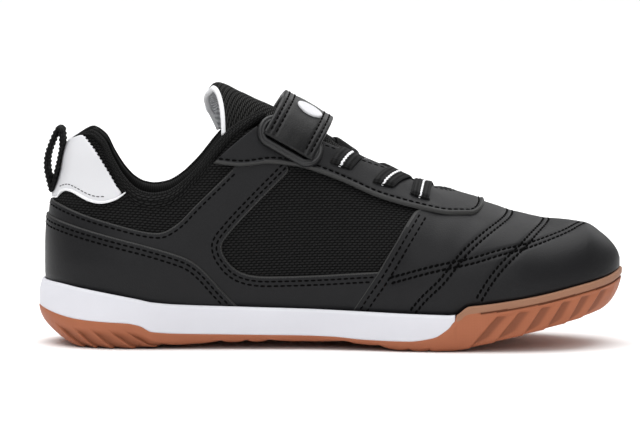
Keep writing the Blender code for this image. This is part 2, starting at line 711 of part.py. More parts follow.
def build_overlays():
    counter = outline(COUNTER_TOP, rim_line(-38.2, -109.2, 12))
    counter = np.vstack([counter, [(-110.4, SOLE_SIDE.rim(-110.4) + 0.5)]])
    last = len(spline(COUNTER_TOP, 4.2)) - 1
    back = np.array([(HEEL_BACK.x(z), z) for z in (51.9, SOLE_SIDE.rim(-111) + 0.5)])
    lower = np.vstack([counter[1:last], counter[last:-1], back[1:]])
    panel("heel_counter", both_sides(np.vstack([back[:1], lower])), BLACK_LEATHER, spacing=6.6)
    for name, side in (("saddle_medial", -1), ("saddle_lateral", 1)):
        heel = [(HEEL_BACK.x(52.8) + 0.12, 52.8), (HEEL_BACK.x(57.4) + 0.12, 57.4)]
        top = [(x, z) for x, z in SADDLE_TOP[1:]]
        under = [(x + 0.5, z + 0.8) for x, z in COUNTER_TOP[::-1]]
        line = outline(
            heel,
            [heel[1]] + top,
            [top[-1], (-27, 70.6), WINDOW_BACK[0]],
            WINDOW_BACK,
            WINDOW_FOOT,
            VAMP_FOOT,
            rim_line(7.4, -36.8, 9),
            [(-36.8, SOLE_SIDE.rim(-36.8) + 0.5)] + under[1:-1] + [heel[0]],
        )
        panel(name, one_side(line, side), BLACK_LEATHER)
    tab_x = (-110.7, -107, -103, -98, -93, -88, -84.5)
    tab_top = [(x, COLLAR.edge(x) - COLLAR.height(x) - 0.9) for x in tab_x]
    tab_low = [
        (-82.2, 59.4), (-86, 57.8), (-91, 57.2), (-97.5, 58.8), (-103, 60.4),
        (-105, 59.6), (-107.4, 58.6),
    ]
    lean = [(SHEAR_END - HEEL_BACK.x(z)) / (SHEAR_END - HEEL) for x, z in tab_top]
    top = np.array([(SHEAR_END - (SHEAR_END - x) * k, z) for (x, z), k in zip(tab_top, lean)])
    low = spline(tab_low, 4.0)
    back = [(HEEL_BACK.x(58.4), 58.4)]
    panel("heel_tab", both_sides(np.vstack([spline(top, 4.0), low, back])), WHITE_LEATHER, spacing=6.0)


def tube(name, path, frames, profile, finish):
    """Sweeps a closed profile along a path. frames holds the profile's two directions for each point."""
    n, m = len(path), len(profile)
    across, up = frames[0][:, None] * profile[None, :, :1], frames[1][:, None] * profile[None, :, 1:]
    points = path[:, None] + across + up
    faces = []
    for i in range(n - 1):
        for j in range(m):
            a, b = i * m + j, i * m + (j + 1) % m
            faces.append([a, b, b + m, a + m])
    faces += [list(range(m))[::-1], [(n - 1) * m + j for j in range(m)]]
    made = solid(name, points.reshape(-1, 3), faces, finish)
    face_out(made)
    return made


def face_out(made):
    """Turns every face round when the solid is inside out."""
    mesh = made.data
    mesh.calc_loop_triangles()
    corners = np.array([[mesh.vertices[i].co for i in t.vertices] for t in mesh.loop_triangles])
    if np.linalg.det(corners).sum() < 0:
        mesh.flip_normals()


def build_collar():
    front = float(upper_q(COLLAR_FRONT))
    s = np.linspace(0, front, 19)
    q = np.concatenate([-s[::-1], s[1:]])
    x = upper_x(q)
    edge = upper_at(q, COLLAR.edge(x))
    normal = outward(upper_at, q, COLLAR.edge(x), 1e-4, 0.05)
    along = np.gradient(edge, axis=0)
    along /= np.linalg.norm(along, axis=1, keepdims=True)
    up = np.cross(normal, along)
    up = np.where(up[:, 2:] < 0, -up, up)
    tall = COLLAR.height(x)[:, None] * up[:, 2:] * 0.5
    angle = np.arange(8) * 2 * math.pi / 8 + 0.3
    path = edge - up * tall - normal * 1.9
    profile = np.column_stack([np.cos(angle), np.sin(angle)])
    tube("collar", path, (normal * 2.6, up * tall), profile, BLACK_KNIT)


def build_tongue():
    a = np.linspace(0, 1, 17)[:, None]
    b = np.linspace(-1, 1, 9)[None, :]
    x = 52 - 99 * a - 2.2 * b * a**4 + 5.0 * a**6 * np.abs(b) ** 2.2
    y = TONGUE.half(x) * b
    z = TONGUE.ridge(x) - TONGUE.drop(x) * np.abs(b) ** 2.2
    base = np.stack(np.broadcast_arrays(x, y, z), -1)
    normal = np.cross(np.gradient(base, axis=1), np.gradient(base, axis=0))
    normal /= np.linalg.norm(normal, axis=-1, keepdims=True)
    normal *= np.sign(normal[..., 2:])
    rounded = np.clip(1.25 - np.abs(b) ** 6 - 0.7 * a**16, 0.4, 1) * TONGUE.thick(x)
    points = np.concatenate([base.reshape(-1, 3), (base - normal * rounded[..., None]).reshape(-1, 3)])
    count = base.shape[0] * base.shape[1]
    faces = [list(f) for f in grid_faces(*base.shape[:2])]
    used = {(f[k], f[(k + 1) % 4]) for f in faces for k in range(4)}
    rim = [[b1, a1, a1 + count, b1 + count] for a1, b1 in used if (b1, a1) not in used]
    faces += [[i + count for i in f[::-1]] for f in faces] + sorted(rim)
    face_out(solid("tongue", points, faces, BLACK_KNIT))


STRAP_ALONG = np.array([0.866, 0.0, -0.5])  # across the strap's width, towards the toe
STRAP_UP = np.array([0.5, 0.0, 0.866])
STRAP_MIDDLE = -54.2  # distance of the strap's centre line along STRAP_ALONG


def strap_point(y, across, lift=0.0):
    """Point of the strap's top face, or lift above it."""
    y = np.asarray(y, float)
    slope = (STRAP_ARCH.height(y + 0.05) - STRAP_ARCH.height(y - 0.05)) / 0.1
    size = np.sqrt(1 + slope**2)
    up = STRAP_ARCH.height(y) + lift / size
    side = y - lift * slope / size
    across = np.asarray(across, float) + STRAP_MIDDLE
    flat = across[..., None] * STRAP_ALONG + up[..., None] * STRAP_UP
    return flat + side[..., None] * np.array([0.0, 1.0, 0.0])


def slab(name, low, high, finish):
    """A closed solid between two grids of points."""
    rows, columns = low.shape[:2]
    count = rows * columns
    faces = [list(f) for f in grid_faces(rows, columns)]
    used = {(f[k], f[(k + 1) % 4]) for f in faces for k in range(4)}
    rim = [[b, a, a + count, b + count] for a, b in used if (b, a) not in used]
    faces += [[i + count for i in f[::-1]] for f in faces] + sorted(rim)
    made = solid(name, np.concatenate([high.reshape(-1, 3), low.reshape(-1, 3)]), faces, finish)
    face_out(made)
    return made


def build_strap():
    y = np.linspace(-25.0, 33.0, 20)[:, None]
    across = np.array([-11, -10.4, 10.4, 11])[None, :]
    y, across = np.broadcast_arrays(y, across)
    edge = np.where(np.abs(across) > 10.9, 0.5, 0.0)
    back, face = strap_point(y, across, -STRAP_THICK + edge), strap_point(y, across, -edge)
    slab("strap", back, face, BLACK_LEATHER)
    turn = np.linspace(0, 2 * math.pi, 19)[None, :]
    ring = np.linspace(0.0, 1, 3)[:, None]
    blank_y = -8.3 + 4.8 * ring * np.sin(turn)
    blank_w = 0.8 + 5.8 * ring * np.cos(turn)
    face = strap_point(blank_y, blank_w)
    normal = strap_point(blank_y, blank_w, 1.0) - face
    thick_sheet("strap_patch", face, normal, grid_faces(*blank_y.shape), GAP, GAP + 0.5, WHITE_LEATHER)


def build_keeper():
    corner = np.linspace(0, math.pi / 2, 4)
    left, right = -13.4 + 4.6 * (1 - np.cos(corner)), 13.4 - 4.6 * (1 - np.sin(corner))
    across = np.concatenate([[-13.4] * 2, left, np.linspace(-5, 5, 3), right, [13.4] * 2])
    falling, rising = 58.6 - 4.6 * np.sin(corner), 58.6 - 4.6 * np.cos(corner)
    down = np.concatenate([[64.0, 61.2], falling, [54.0] * 3, rising, [61.2, 64.0]])
    seat = (across + STRAP_MIDDLE)[:, None] * STRAP_ALONG + down[:, None] * STRAP_UP
    q = -upper_q(seat[:, 0])
    base = upper_at(q, seat[:, 2])
    normal = outward(upper_at, q, seat[:, 2], 1e-4, 0.05)
    along = np.gradient(base, axis=0)
    along /= np.linalg.norm(along, axis=1, keepdims=True)
    flat = np.cross(normal, along)
    angle = np.arange(8) * 2 * math.pi / 8 + math.pi / 8
    path = base + normal * (GAP * 3 + LEATHER + 1.2)
    profile = np.column_stack([np.cos(angle), np.sin(angle)])
    tube("strap_keeper", path, (normal * 1.2, flat * 1.35), profile, BLACK_LEATHER)


def lace_height(x, y):
    """Height that a lace follows: the upper's own at the sides, straight across over the throat."""
    q = upper_q(x)
    half = THROAT_HALF.half(x)
    out = []
    for s, a, h in zip(np.ravel(q), np.ravel(y), np.ravel(half)):
        side = -s if a < 0 else s
        reach = LAST.medial(upper_x(s)) if a < 0 else LAST.lateral(upper_x(s))
        at = max(abs(a), 0.0 if h < 1 else h)
        station = upper_x(s)
        over = max(1 - (at / reach) ** LAST.m(station), 0) ** (1 / LAST.n(station))
        z = LAST.wide(station) + (LAST.ridge(station) - LAST.wide(station)) * over
        out.append(z + 0.8 * max(0, 1 - (a / max(h, 1)) ** 2))
    return np.array(out).reshape(np.shape(y))


def lace_shape(arms, middle):
    """Plan outline of a lace: flat arms, each an end (x, y), that meet in the middle."""
    ends = sorted(arms, key=lambda end: math.atan2(end[1] - middle[1], end[0] - middle[0]))
    middle = np.array(middle, float)
    ways = [(np.array(end) - middle) / np.linalg.norm(np.array(end) - middle) for end in ends]
    corners = []
    for k, (end, way) in enumerate(zip(ends, ways)):
        left = np.array([-way[1], way[0]]) * LACE_WIDTH / 2
        corners += [np.array(end) - left, np.array(end) + left]
        both = way + ways[(k + 1) % len(ways)]
        if len(ways) > 2:
            half_angle = math.acos(np.clip(np.linalg.norm(both) / 2, -1, 1))
            corners.append(middle + both / np.linalg.norm(both) * LACE_WIDTH / 2 / math.sin(half_angle))
    return np.array(corners)


def lace(name, arms, middle, lift):
    """Flat laces joined where they cross, bent over the instep."""
    shape = lace_shape(arms, middle)
    line = np.vstack([spline([a, b], 4.0)[:-1] for a, b in zip(shape, np.roll(shape, -1, axis=0))])
    points, faces = filled(line, 4.0)
    x, y = points.T
    place = np.column_stack([x, y, lace_height(x, y)])
    step = 0.2
    east = lace_height(x + step, y) - lace_height(x - step, y)
    north = lace_height(x, y + step) - lace_height(x, y - step)
    normal = np.column_stack([-east / (2 * step), -north / (2 * step), np.ones(len(x))])
    normal /= np.linalg.norm(normal, axis=1, keepdims=True)
    thick_sheet(name, place, normal, faces, lift, lift + LACE_THICK, BLACK_KNIT)


def build_laces():
    lace("lace_bar_front", [(35.8, -20.0), (35.8, 20.0)], (35.8, 0.0), 2.1)
    for name, back, front in (("lace_cross_lower", 18.5, 26.5), ("lace_cross_upper", 4.0, 12.0)):
        reach, stop = 21.0, 8.0
        middle = (back + (front - back) * reach / (reach + stop), 0.0)
        lace(name, [(back, -reach), (back, reach), (front, -stop), (front, stop)], middle, 2.6)


LOOP = [
    (-110.0, 60.4), (-111.0, 64.5), (-111.9, 69.5), (-111.5, 74.5), (-109.6, 80),
    (-107.6, 84.2), (-106.4, 84.6), (-105.9, 81.0), (-106.0, 76.6), (-107.2, 70.6),
    (-108.6, 65.0),
]


def build_loop():
    path = np.array(LOOP, float)
    path[:, 0] -= 0.9
    ring = np.vstack([path, path[:1]])
    line = spline(ring, 2.2)[:-1]
    along = np.roll(line, -1, 0) - np.roll(line, 1, 0)
    along /= np.linalg.norm(along, axis=1, keepdims=True)
    side = np.column_stack([-along[:, 1], along[:, 0]])
    n = len(line)
    half = 5.5
    rings = []
    for offset, y in ((0.85, -half), (0.85, half), (-0.85, half), (-0.85, -half)):
        flat = line + side * offset
        rings.append(np.column_stack([flat[:, 0], np.full(n, y), flat[:, 1]]))
    points = np.stack(rings, 1).reshape(-1, 3)
    faces = []
    for i in range(n):
        for j in range(4):
            k = (i + 1) % n
            faces.append([i * 4 + j, i * 4 + (j + 1) % 4, k * 4 + (j + 1) % 4, k * 4 + j])
    face_out(solid("pull_loop", points, faces, BLACK_KNIT))


def main():
    for old in list(bpy.data.objects):
        bpy.data.objects.remove(old)
    build_outsole()
    build_midsole()
    build_insole()
    build_upper()
    build_vamp()
    build_eyestay()
    build_overlays()
    build_collar()
    build_tongue()
    build_strap()
    build_keeper()
    build_laces()
    build_loop()
    for name in ("outsole", "midsole", "insole"):
        face_out(bpy.data.objects[name])


main()
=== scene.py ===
# %% [markdown]
# # Dressing an indoor court shoe
# The solids already give every piece its size and place. This lesson puts the visible surfaces over them: a
# gum cup sole, a foam midsole, leather panels with rows of stitches, knit fabric, laces, a strap and a heel
# loop. Everything is worked out in millimetres and written to the meshes in metres.

# %% Load the solids
import math

import bpy
import numpy as np
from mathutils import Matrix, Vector
from mathutils.geometry import delaunay_2d_cdt


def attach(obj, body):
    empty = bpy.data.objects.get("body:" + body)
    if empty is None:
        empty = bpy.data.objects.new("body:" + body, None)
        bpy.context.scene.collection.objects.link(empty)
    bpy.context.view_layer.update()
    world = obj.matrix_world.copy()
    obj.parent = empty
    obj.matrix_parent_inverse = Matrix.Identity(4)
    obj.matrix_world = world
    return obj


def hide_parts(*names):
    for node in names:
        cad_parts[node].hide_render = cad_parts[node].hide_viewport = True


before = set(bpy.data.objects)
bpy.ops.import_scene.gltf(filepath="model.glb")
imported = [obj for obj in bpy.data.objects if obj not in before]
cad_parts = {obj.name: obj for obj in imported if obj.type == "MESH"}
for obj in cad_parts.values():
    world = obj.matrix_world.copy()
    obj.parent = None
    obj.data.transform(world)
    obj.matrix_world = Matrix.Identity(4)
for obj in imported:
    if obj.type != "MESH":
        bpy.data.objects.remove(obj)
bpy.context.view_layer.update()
MM = 0.001

# %% [markdown]
# ## Camera
# The shoe was photographed side on with a long lens, from a little above. A far camera with a narrow angle
# keeps both sides of the shoe at nearly one scale, so a place measured in the picture is easy to find on
# the shoe.

# %% Camera
SCALE = 0.3945  # mm of shoe in one pixel of a 640 by 427 picture
MIDDLE_PX, FLOOR_PX = 330.5, 341.5  # column of the shoe's middle, row of the floor under it
WIDE_PX, CENTRE_PX = 640, (320, 213.5)  # the picture's width, and its middle as column and row
TILT = math.radians(5.5)
DISTANCE = 4000.0  # mm from the camera to the shoe
SENSOR = 36.0
aim = np.array([(CENTRE_PX[0] - MIDDLE_PX) * SCALE, 0, (FLOOR_PX - CENTRE_PX[1]) * SCALE / math.cos(TILT)])
eye = aim + DISTANCE * np.array([0, -math.cos(TILT), math.sin(TILT)])
lens = bpy.data.cameras.new("camera")
lens.sensor_width = SENSOR
lens.lens = SENSOR * DISTANCE / (WIDE_PX * SCALE)
lens.clip_end = 100
camera = bpy.data.objects.new("camera", lens)
camera.location = eye * MM
camera.rotation_euler = (math.pi / 2 - TILT, 0, 0)
bpy.context.scene.collection.objects.link(camera)
bpy.context.scene.camera = camera
print("focal length:", round(lens.lens, 1), "mm")

# %% [markdown]
# ## Formulas for materials
# A finish is a formula over the surface. Wiring nodes by hand hides that formula, so one small class lets a
# socket stand in an ordinary Python expression, and each operation adds its Math node.


# %% A socket that can stand in a formula
class Wire:
    """One output of a node. Operators add Math nodes, and node() adds any other kind."""

    def __init__(self, tree, socket):
        self.tree, self.socket = tree, socket

    def node(self, kind, settings, inputs, out=0):
        """Adds a node, sets its settings first, then each input to a number, a colour or another Wire."""
        made = self.tree.nodes.new(kind)
        for key, value in settings.items():
            if key == "stops":
                ramp = made.color_ramp.elements
                while len(ramp) < len(value):
                    ramp.new(1.0)
                for stop, (place, colour) in zip(ramp, value):
                    stop.position, stop.color = place, colour
            else:
                setattr(made, key, value)
        for key, value in inputs.items():
            if isinstance(value, Wire):
                self.tree.links.new(value.socket, made.inputs[key])
            else:
                made.inputs[key].default_value = value
        return Wire(self.tree, made.outputs[out])

    def math(self, operation, other=0.0, first=None):
        """A Math node on this value and another, or on a first one and this."""
        inputs = {0: self if first is None else first, 1: other}
        return self.node("ShaderNodeMath", {"operation": operation}, inputs)

    def __add__(self, other):
        return self.math("ADD", other)

    def __sub__(self, other):
        return self.math("SUBTRACT", other)

    def __rsub__(self, other):
        return self.math("SUBTRACT", self, other)

    def __mul__(self, other):
        return self.math("MULTIPLY", other)

    def __truediv__(self, other):
        return self.math("DIVIDE", other)

    def __rtruediv__(self, other):
        return self.math("DIVIDE", self, other)

    def __pow__(self, other):
        return self.math("POWER", other)

    def __abs__(self):
        return self.math("ABSOLUTE")

    __radd__, __rmul__ = __add__, __mul__

    def wave(self, period):
        """Sine with the given period, from -1 to 1."""
        return (self * (2 * math.pi / period)).math("SINE")

    def step(self, low, high):
        """0 below low, 1 above high, smooth between them."""
        inputs = {"Value": self, "From Min": low, "From Max": high}
        return self.node("ShaderNodeMapRange", {"interpolation_type": "SMOOTHSTEP"}, inputs)

    def blend(self, first, second):
        """Mixes two colours by this value."""
        return self.node("ShaderNodeMix", {"data_type": "RGBA"}, {0: self, 6: first, 7: second}, 2)

    def split(self):
        """The three parts of a vector."""
        made = self.tree.nodes.new("ShaderNodeSeparateXYZ")
        self.tree.links.new(self.socket, made.inputs[0])
        return [Wire(self.tree, made.outputs[i]) for i in range(3)]

    def noise(self, size, detail=2.0):
        """Noise whose lumps are about size metres across, from 0 to 1."""
        return self.node("ShaderNodeTexNoise", {}, {"Vector": self, "Scale": 1 / size, "Detail": detail})


def srgb(r, g, b):
    """A colour given on the 0 to 255 scale, made linear."""
    c = np.array([r, g, b]) / 255
    c = np.where(c <= 0.04045, c / 12.92, ((c + 0.055) / 1.055) ** 2.4)
    return (*c.tolist(), 1.0)


def new_finish(name, colour, roughness, specular=0.5):
    """A material, its shader, and Wires: Object coordinates in metres and the flat pattern in mm."""
    made = bpy.data.materials.new(name)
    made.use_nodes = True
    made.diffuse_color = colour
    shader = made.node_tree.nodes["Principled BSDF"]
    shader.inputs["Base Color"].default_value = colour
    shader.inputs["Roughness"].default_value = roughness
    shader.inputs["Specular IOR Level"].default_value = specular
    coords = made.node_tree.nodes.new("ShaderNodeTexCoord")
    flat = Wire(made.node_tree, coords.outputs["UV"])
    flat = flat.node("ShaderNodeVectorMath", {"operation": "SCALE"}, {0: flat, "Scale": 100.0})
    return made, shader, Wire(made.node_tree, coords.outputs["Object"]), flat


def wire_up(shader, **wires):
    """Links Wires to the shader: colour, roughness, or height as (Wire, mm of relief)."""
    tree = shader.id_data
    if "colour" in wires:
        tree.links.new(wires["colour"].socket, shader.inputs["Base Color"])
    if "roughness" in wires:
        tree.links.new(wires["roughness"].socket, shader.inputs["Roughness"])
    if "height" in wires:
        height, relief = wires["height"]
        bump = height.node("ShaderNodeBump", {}, {"Height": height, "Distance": relief * MM, "Strength": 1.0})
        tree.links.new(bump.socket, shader.inputs["Normal"])


# %% [markdown]
# ## Finishes
# Coated leather is smooth, with a fine grain and a soft sheen that wanders a little. Its cut edges are
# greyer. The grain could be an image, but noise in space needs no unwrapping and runs on from piece to
# piece.


# %% Leather, thread and moulded plastic
def leather_finish(name, dark, light, roughness=0.45, specular=0.17, relief=0.07):
    """Grain is small cells plus fine noise; colour and sheen follow soft clouds 30 mm across."""
    made, shader, place = new_finish(name, light, roughness, specular)[:3]
    cells = place.node("ShaderNodeTexVoronoi", {}, {"Vector": place, "Scale": 1500.0})
    grain = place.noise(0.0004, 3.0)
    cloud = place.noise(0.03, 3.0)
    wire_up(
        shader,
        colour=(cloud * 0.7 + grain * 0.3).blend(dark, light),
        roughness=roughness - 0.08 + cloud * 0.12 + grain * 0.06,
        height=(cells * 0.55 + grain * 0.45, relief),
    )
    return made


BLACK_LEATHER = leather_finish("black_leather", srgb(16, 16, 17), srgb(29, 29, 31))
# Painted shade: the strap is the black leather with a darker base colour, so its lower part reads shaded.
STRAP_SHADED_LEATHER = leather_finish("strap_leather", srgb(8, 8, 9), srgb(20, 20, 21), 0.36, 0.25)
CUT_EDGE = leather_finish("cut_edge", srgb(40, 40, 40), srgb(56, 56, 55), 0.55, 0.25, 0.03)
WHITE_LEATHER = leather_finish("white_leather", srgb(202, 202, 205), srgb(212, 212, 215), 0.5, 0.4, 0.03)
THREAD = leather_finish("black_thread", srgb(3, 3, 3), srgb(7, 7, 7), 0.8, 0.04, 0.04)
WHITE_THREAD = leather_finish("white_thread", srgb(222, 222, 224), srgb(234, 234, 236), 0.7, 0.2, 0.04)
GREY_THREAD = leather_finish("grey_thread", srgb(64, 64, 66), srgb(88, 88, 90), 0.7, 0.1, 0.04)
MOULDED = leather_finish("moulded_ring", srgb(20, 20, 21), srgb(27, 27, 28), 0.4, 0.4, 0.015)
SLOT_DARK = leather_finish("slot_shadow", srgb(4, 4, 4), srgb(8, 8, 8), 0.9, 0.1, 0.02)


# %% [markdown]
# Knit, lining and braid are rows of small loops that follow the fabric, so these finishes use the flat
# pattern of a piece instead of its place in space. Loops as meshes would take millions of faces. Waves and
# fractions of the pattern's two lengths draw the rows, the gaps and the cords, and a bump gives them depth.


# %% Knit, lining, webbing and lace
def knit_finish(name, dark, light, row, loop, relief, lean=0.0):
    """Rows of raised loops, each row half a loop from the next, with dark gaps and a fine yarn."""
    made, shader, place, flat = new_finish(name, light, 0.8, 0.1)
    u, v = flat.split()[:2]
    v = v + u * lean
    line = v / row
    shift = (line.math("FLOOR") * 0.5).math("FRACT")
    down = line.math("FRACT") - 0.5
    across = (u / loop + shift + down * 0.22).math("FRACT") - 0.5
    raised = 1 - ((across / 0.5) ** 2 + (down / 0.44) ** 2).math("SQRT").step(0.62, 1.08)
    yarn = (u + v * 0.6).wave(0.28) * 0.12 + place.noise(0.0006, 3.0) * 0.5
    wire_up(
        shader,
        colour=(raised * (0.45 + yarn)).blend(dark, light),
        roughness=0.9 - raised * 0.22,
        height=(raised + yarn * 0.5, relief),
    )
    return made


def ribbed_finish(name, dark, light, pitch, cross, relief):
    """Fine ribs along the flat pattern's second way, crossed by a shallower weave."""
    made, shader, place, flat = new_finish(name, light, 0.85, 0.1)
    u, v = flat.split()[:2]
    ribs = u.wave(pitch) * 0.5 + 0.5
    weave = (u.wave(pitch) * v.wave(cross)) * 0.5 + 0.5
    fuzz = place.noise(0.0005, 3.0)
    height = ribs * 0.6 + weave * 0.4
    wire_up(
        shader,
        colour=(height * (0.6 + fuzz * 0.8)).blend(dark, light),
        roughness=0.92 - height * 0.15,
        height=(height + fuzz * 0.3, relief),
    )
    return made


def lace_finish(name):
    """Elastic braid: cords along the length, crossed by weft, with a white zigzag thread down the middle."""
    made, shader, place, flat = new_finish(name, srgb(18, 18, 18), 0.8, 0.25)
    along, across = flat.split()[:2]
    cords = (across.wave(1.35) * 0.5 + 0.5) * 0.7 + (along.wave(0.7) * 0.5 + 0.5) * 0.3
    zigzag = abs((along / 1.3).math("FRACT") - 0.5) * 0.6 - 0.15
    white = 1 - abs(across - zigzag).step(0.27, 0.4)
    black = (cords * (0.5 + place.noise(0.0005) * 0.9)).blend(srgb(3, 3, 3), srgb(24, 24, 25))
    wire_up(
        shader,
        colour=white.blend(black, srgb(236, 236, 238)),
        roughness=0.9 - cords * 0.15,
        height=(cords + white * 0.8, 0.22),
    )
    return made


KNIT = knit_finish("black_knit", srgb(4, 4, 4), srgb(36, 36, 36), 1.04, 2.0, 0.3, 0.06)
TONGUE_KNIT = knit_finish("tongue_knit", srgb(5, 5, 5), srgb(58, 58, 57), 1.15, 1.9, 0.3, -0.1)
COLLAR_RIB = ribbed_finish("collar_rib", srgb(7, 7, 7), srgb(34, 34, 34), 0.95, 1.4, 0.1)
LINING = ribbed_finish("twill_lining", srgb(6, 6, 6), srgb(30, 30, 30), 0.8, 0.9, 0.12)
WHITE_LINING = ribbed_finish("white_lining", srgb(120, 122, 126), srgb(214, 215, 218), 1.3, 1.3, 0.2)
WEBBING = ribbed_finish("black_webbing", srgb(6, 6, 6), srgb(38, 38, 38), 0.75, 1.1, 0.16)
LACE = lace_finish("elastic_lace")


# %% [markdown]
# Gum rubber is translucent brown rubber with faint clouds, paler where it is thin. The foam is a white
# moulded skin with tiny pits. Both are matt, so most of their look comes from the shape of the sole; on the
# gum, painted shade also darkens the rib hollows and the groove under the cup's rim.


# %% Gum rubber, foam and felt
def moulded_finish(name, dark, light, roughness, relief, cloud_size, net=0.0, rib_shade=None):
    """Clouds of colour over fine pits. Gum also has a net of dots 1.2 mm apart and painted shade in its
    hollows.
    """
    made, shader, place, flat = new_finish(name, light, roughness, 0.35)
    x, z = place.split()[::2]
    cloud = place.noise(cloud_size, 3.0)
    dots = (x + z).wave(0.0012) * (x - z).wave(0.0012) * net
    pits = place.noise(0.0005, 2.0) + dots
    colour = (cloud * 0.8 + pits * 0.2).blend(dark, light)
    if rib_shade:
        colour = flat.split()[0].blend(colour, rib_shade)
    wire_up(shader, colour=colour, roughness=roughness - 0.06 + pits * 0.12, height=(pits, relief))
    return made


# Painted shade: the colour that the rib hollows take, mixed in by each hollow's depth.
GUM_RIB_SHADE = srgb(126, 71, 45)
GUM = moulded_finish("gum_rubber", srgb(149, 85, 55), srgb(167, 100, 69), 0.6, 0.03, 0.02, 0.8, GUM_RIB_SHADE)
GUM_RIM = moulded_finish("gum_rim", srgb(138, 98, 75), srgb(152, 110, 86), 0.65, 0.03, 0.02)
# Painted shade: a much darker gum for the faces in the groove under the cup's rim.
GUM_LINE_SHADE = moulded_finish("gum_line_shade", srgb(92, 50, 30), srgb(104, 58, 36), 0.8, 0.03, 0.02)
FOAM = moulded_finish("white_foam", srgb(206, 206, 212), srgb(216, 216, 222), 0.55, 0.025, 0.02)
FELT = moulded_finish("sock_felt", srgb(60, 60, 62), srgb(88, 88, 90), 0.95, 0.12, 0.004)
print("finishes:", len(bpy.data.materials))

# %% [markdown]
# ## Floor and light
# A white floor that runs past the picture is the whole background. A large soft light overhead draws the
# sheen along the toe and the edges, a second one in front fills the side of the shoe, and a grey sky keeps
# the shadows open.

# %% Floor and light
FLOOR_HALF, FLOOR_DROP = 6.0, 0.00005  # metres; the drop keeps the floor just under the sole
corners = np.array([[-1, -1], [1, -1], [1, 1], [-1, 1]]) * FLOOR_HALF
ground = bpy.data.meshes.new("floor")
ground.from_pydata([(x, y, -FLOOR_DROP) for x, y in corners.tolist()], [], [[0, 1, 2, 3]])
floor = bpy.data.objects.new("floor", ground)
ground.materials.append(new_finish("pale_floor", (0.93, 0.93, 0.93, 1), 0.9, 0.1)[0])
bpy.context.scene.collection.objects.link(floor)


def softbox(name, place, target, size, watts):
    """A square area light at place, in mm, turned towards target."""
    light = bpy.data.lights.new(name, "AREA")
    light.size = size * MM
    light.energy = watts
    made = bpy.data.objects.new(name, light)
    made.location = Vector(place) * MM
    made.rotation_euler = (Vector(target) - Vector(place)).to_track_quat("-Z", "Y").to_euler()
    bpy.context.scene.collection.objects.link(made)


softbox("top_light", (-200, 200, 2000), (-50, 150, 40), 2800, 75)
softbox("front_light", (-150, -1750, 900), (0, 0, 40), 1000, 8.5)
softbox("back_light", (700, 1300, 900), (0, 0, 40), 900, 3)
sky = bpy.data.worlds.new("studio")
sky.use_nodes = True
sky.node_tree.nodes["Background"].inputs["Color"].default_value = (1, 1, 1, 1)
sky.node_tree.nodes["Background"].inputs["Strength"].default_value = 0.37
bpy.context.scene.world = sky
bpy.context.scene.view_settings.view_transform = "Standard"

# %% [markdown]
# ## Tables that become curves
# A shoe maker works from stations along the last. Each table below has one row per station and named
# columns, and a cubic that never overshoots turns every column into a smooth function. They are the solids'
# own numbers.


# %% Stations
def smooth(keys, values):
    """A curve through the values in cubic pieces: each slope is the harmonic mean of its neighbours."""
    step = np.diff(keys)
    rise = np.diff(values) / step
    slope = np.concatenate([rise[:1], np.zeros(len(rise) - 1), rise[-1:]])
    same = rise[:-1] * rise[1:] > 0
    inner = 2 * rise[:-1] * rise[1:] / np.where(same, rise[:-1] + rise[1:], 1)
    slope[1:-1] = np.where(same, inner, 0)

    def at(q):
        q = np.clip(np.asarray(q, float), keys[0], keys[-1])
        i = np.clip(np.searchsorted(keys, q, side="right") - 1, 0, len(step) - 1)
        t = (q - keys[i]) / step[i]
        a = values[i] * (1 + 2 * t) + slope[i] * step[i] * t
        b = values[i + 1] * (3 - 2 * t) + slope[i + 1] * step[i] * (t - 1)
        return a * (1 - t) ** 2 + b * t**2

    return at


class Stations:
    """A table with named columns. Each column is a smooth function of the first one."""

    def __init__(self, names, rows):
        grid = np.array(rows, float)
        for name, column in zip(names.split()[1:], grid[:, 1:].T):
            setattr(self, name, smooth(grid[:, 0], column))


HALF = 115.0  # half of the overall length
HEEL, TOE = -110.7, 112.8  # back and tip of the upper
SHEAR_END = -40.0  # in front of here the heel's lean has no effect
THROAT = 46.8  # front end of the throat
MIDSOLE_FRONT = 48.3
SOLE_PLAN = Stations(
    "x medial lateral centre rim",
    [
        (-115, 31.0, 32.0, 0.0, 2.6),
        (-80, 31.0, 32.4, 0.0, 2.6),
        (-45, 29.5, 34.8, 0.0, 2.6),
        (-15, 29.5, 36.8, 0.0, 2.6),
        (10, 34.0, 40.3, 0.0, 2.6),
        (30, 39.5, 42.5, 0.0, 2.6),
        (55, 42.5, 41.0, 0.0, 2.6),
        (80, 41.5, 37.5, -0.8, 2.4),
        (100, 40.0, 35.5, -2.6, 2.0),
        (115, 38.5, 34.0, -4.0, 1.6),
    ],
)
SOLE_SIDE = Stations(
    "x bottom joint rim bed",
    [
        (-115, 0.0, 15.6, 25.4, 20.5),
        (-107, 0.0, 13.2, 24.8, 20.3),
        (-100, 0.0, 11.9, 23.8, 20.0),
        (-90, 0.0, 11.1, 22.2, 19.2),
        (-80, 0.0, 10.6, 20.4, 18.0),
        (-75, 0.1, 9.6, 19.4, 17.4),
        (-70, 0.5, 7.2, 18.3, 16.6),
        (-60, 1.4, 6.5, 17.4, 15.5),
        (-35, 2.6, 6.1, 16.5, 14.3),
        (0, 2.9, 5.6, 15.5, 13.4),
        (14, 2.0, 4.6, 15.1, 13.0),
        (26, 0.3, 4.4, 14.8, 12.7),
        (30, 0.0, 4.4, 14.7, 12.6),
        (40, 0.0, 5.9, 14.5, 12.5),
        (46, 0.3, 9.6, 14.4, 12.4),
        (48.5, 0.5, 12.4, 14.6, 12.5),
        (54, 1.3, 12.6, 18.0, 12.6),
        (60, 2.7, 12.9, 18.7, 13.0),
        (82, 8.0, 14.6, 22.1, 15.2),
        (97, 11.8, 17.0, 25.3, 17.6),
        (110, 15.6, 19.8, 28.3, 20.4),
        (115, 17.6, 21.0, 30.4, 21.6),
    ],
)
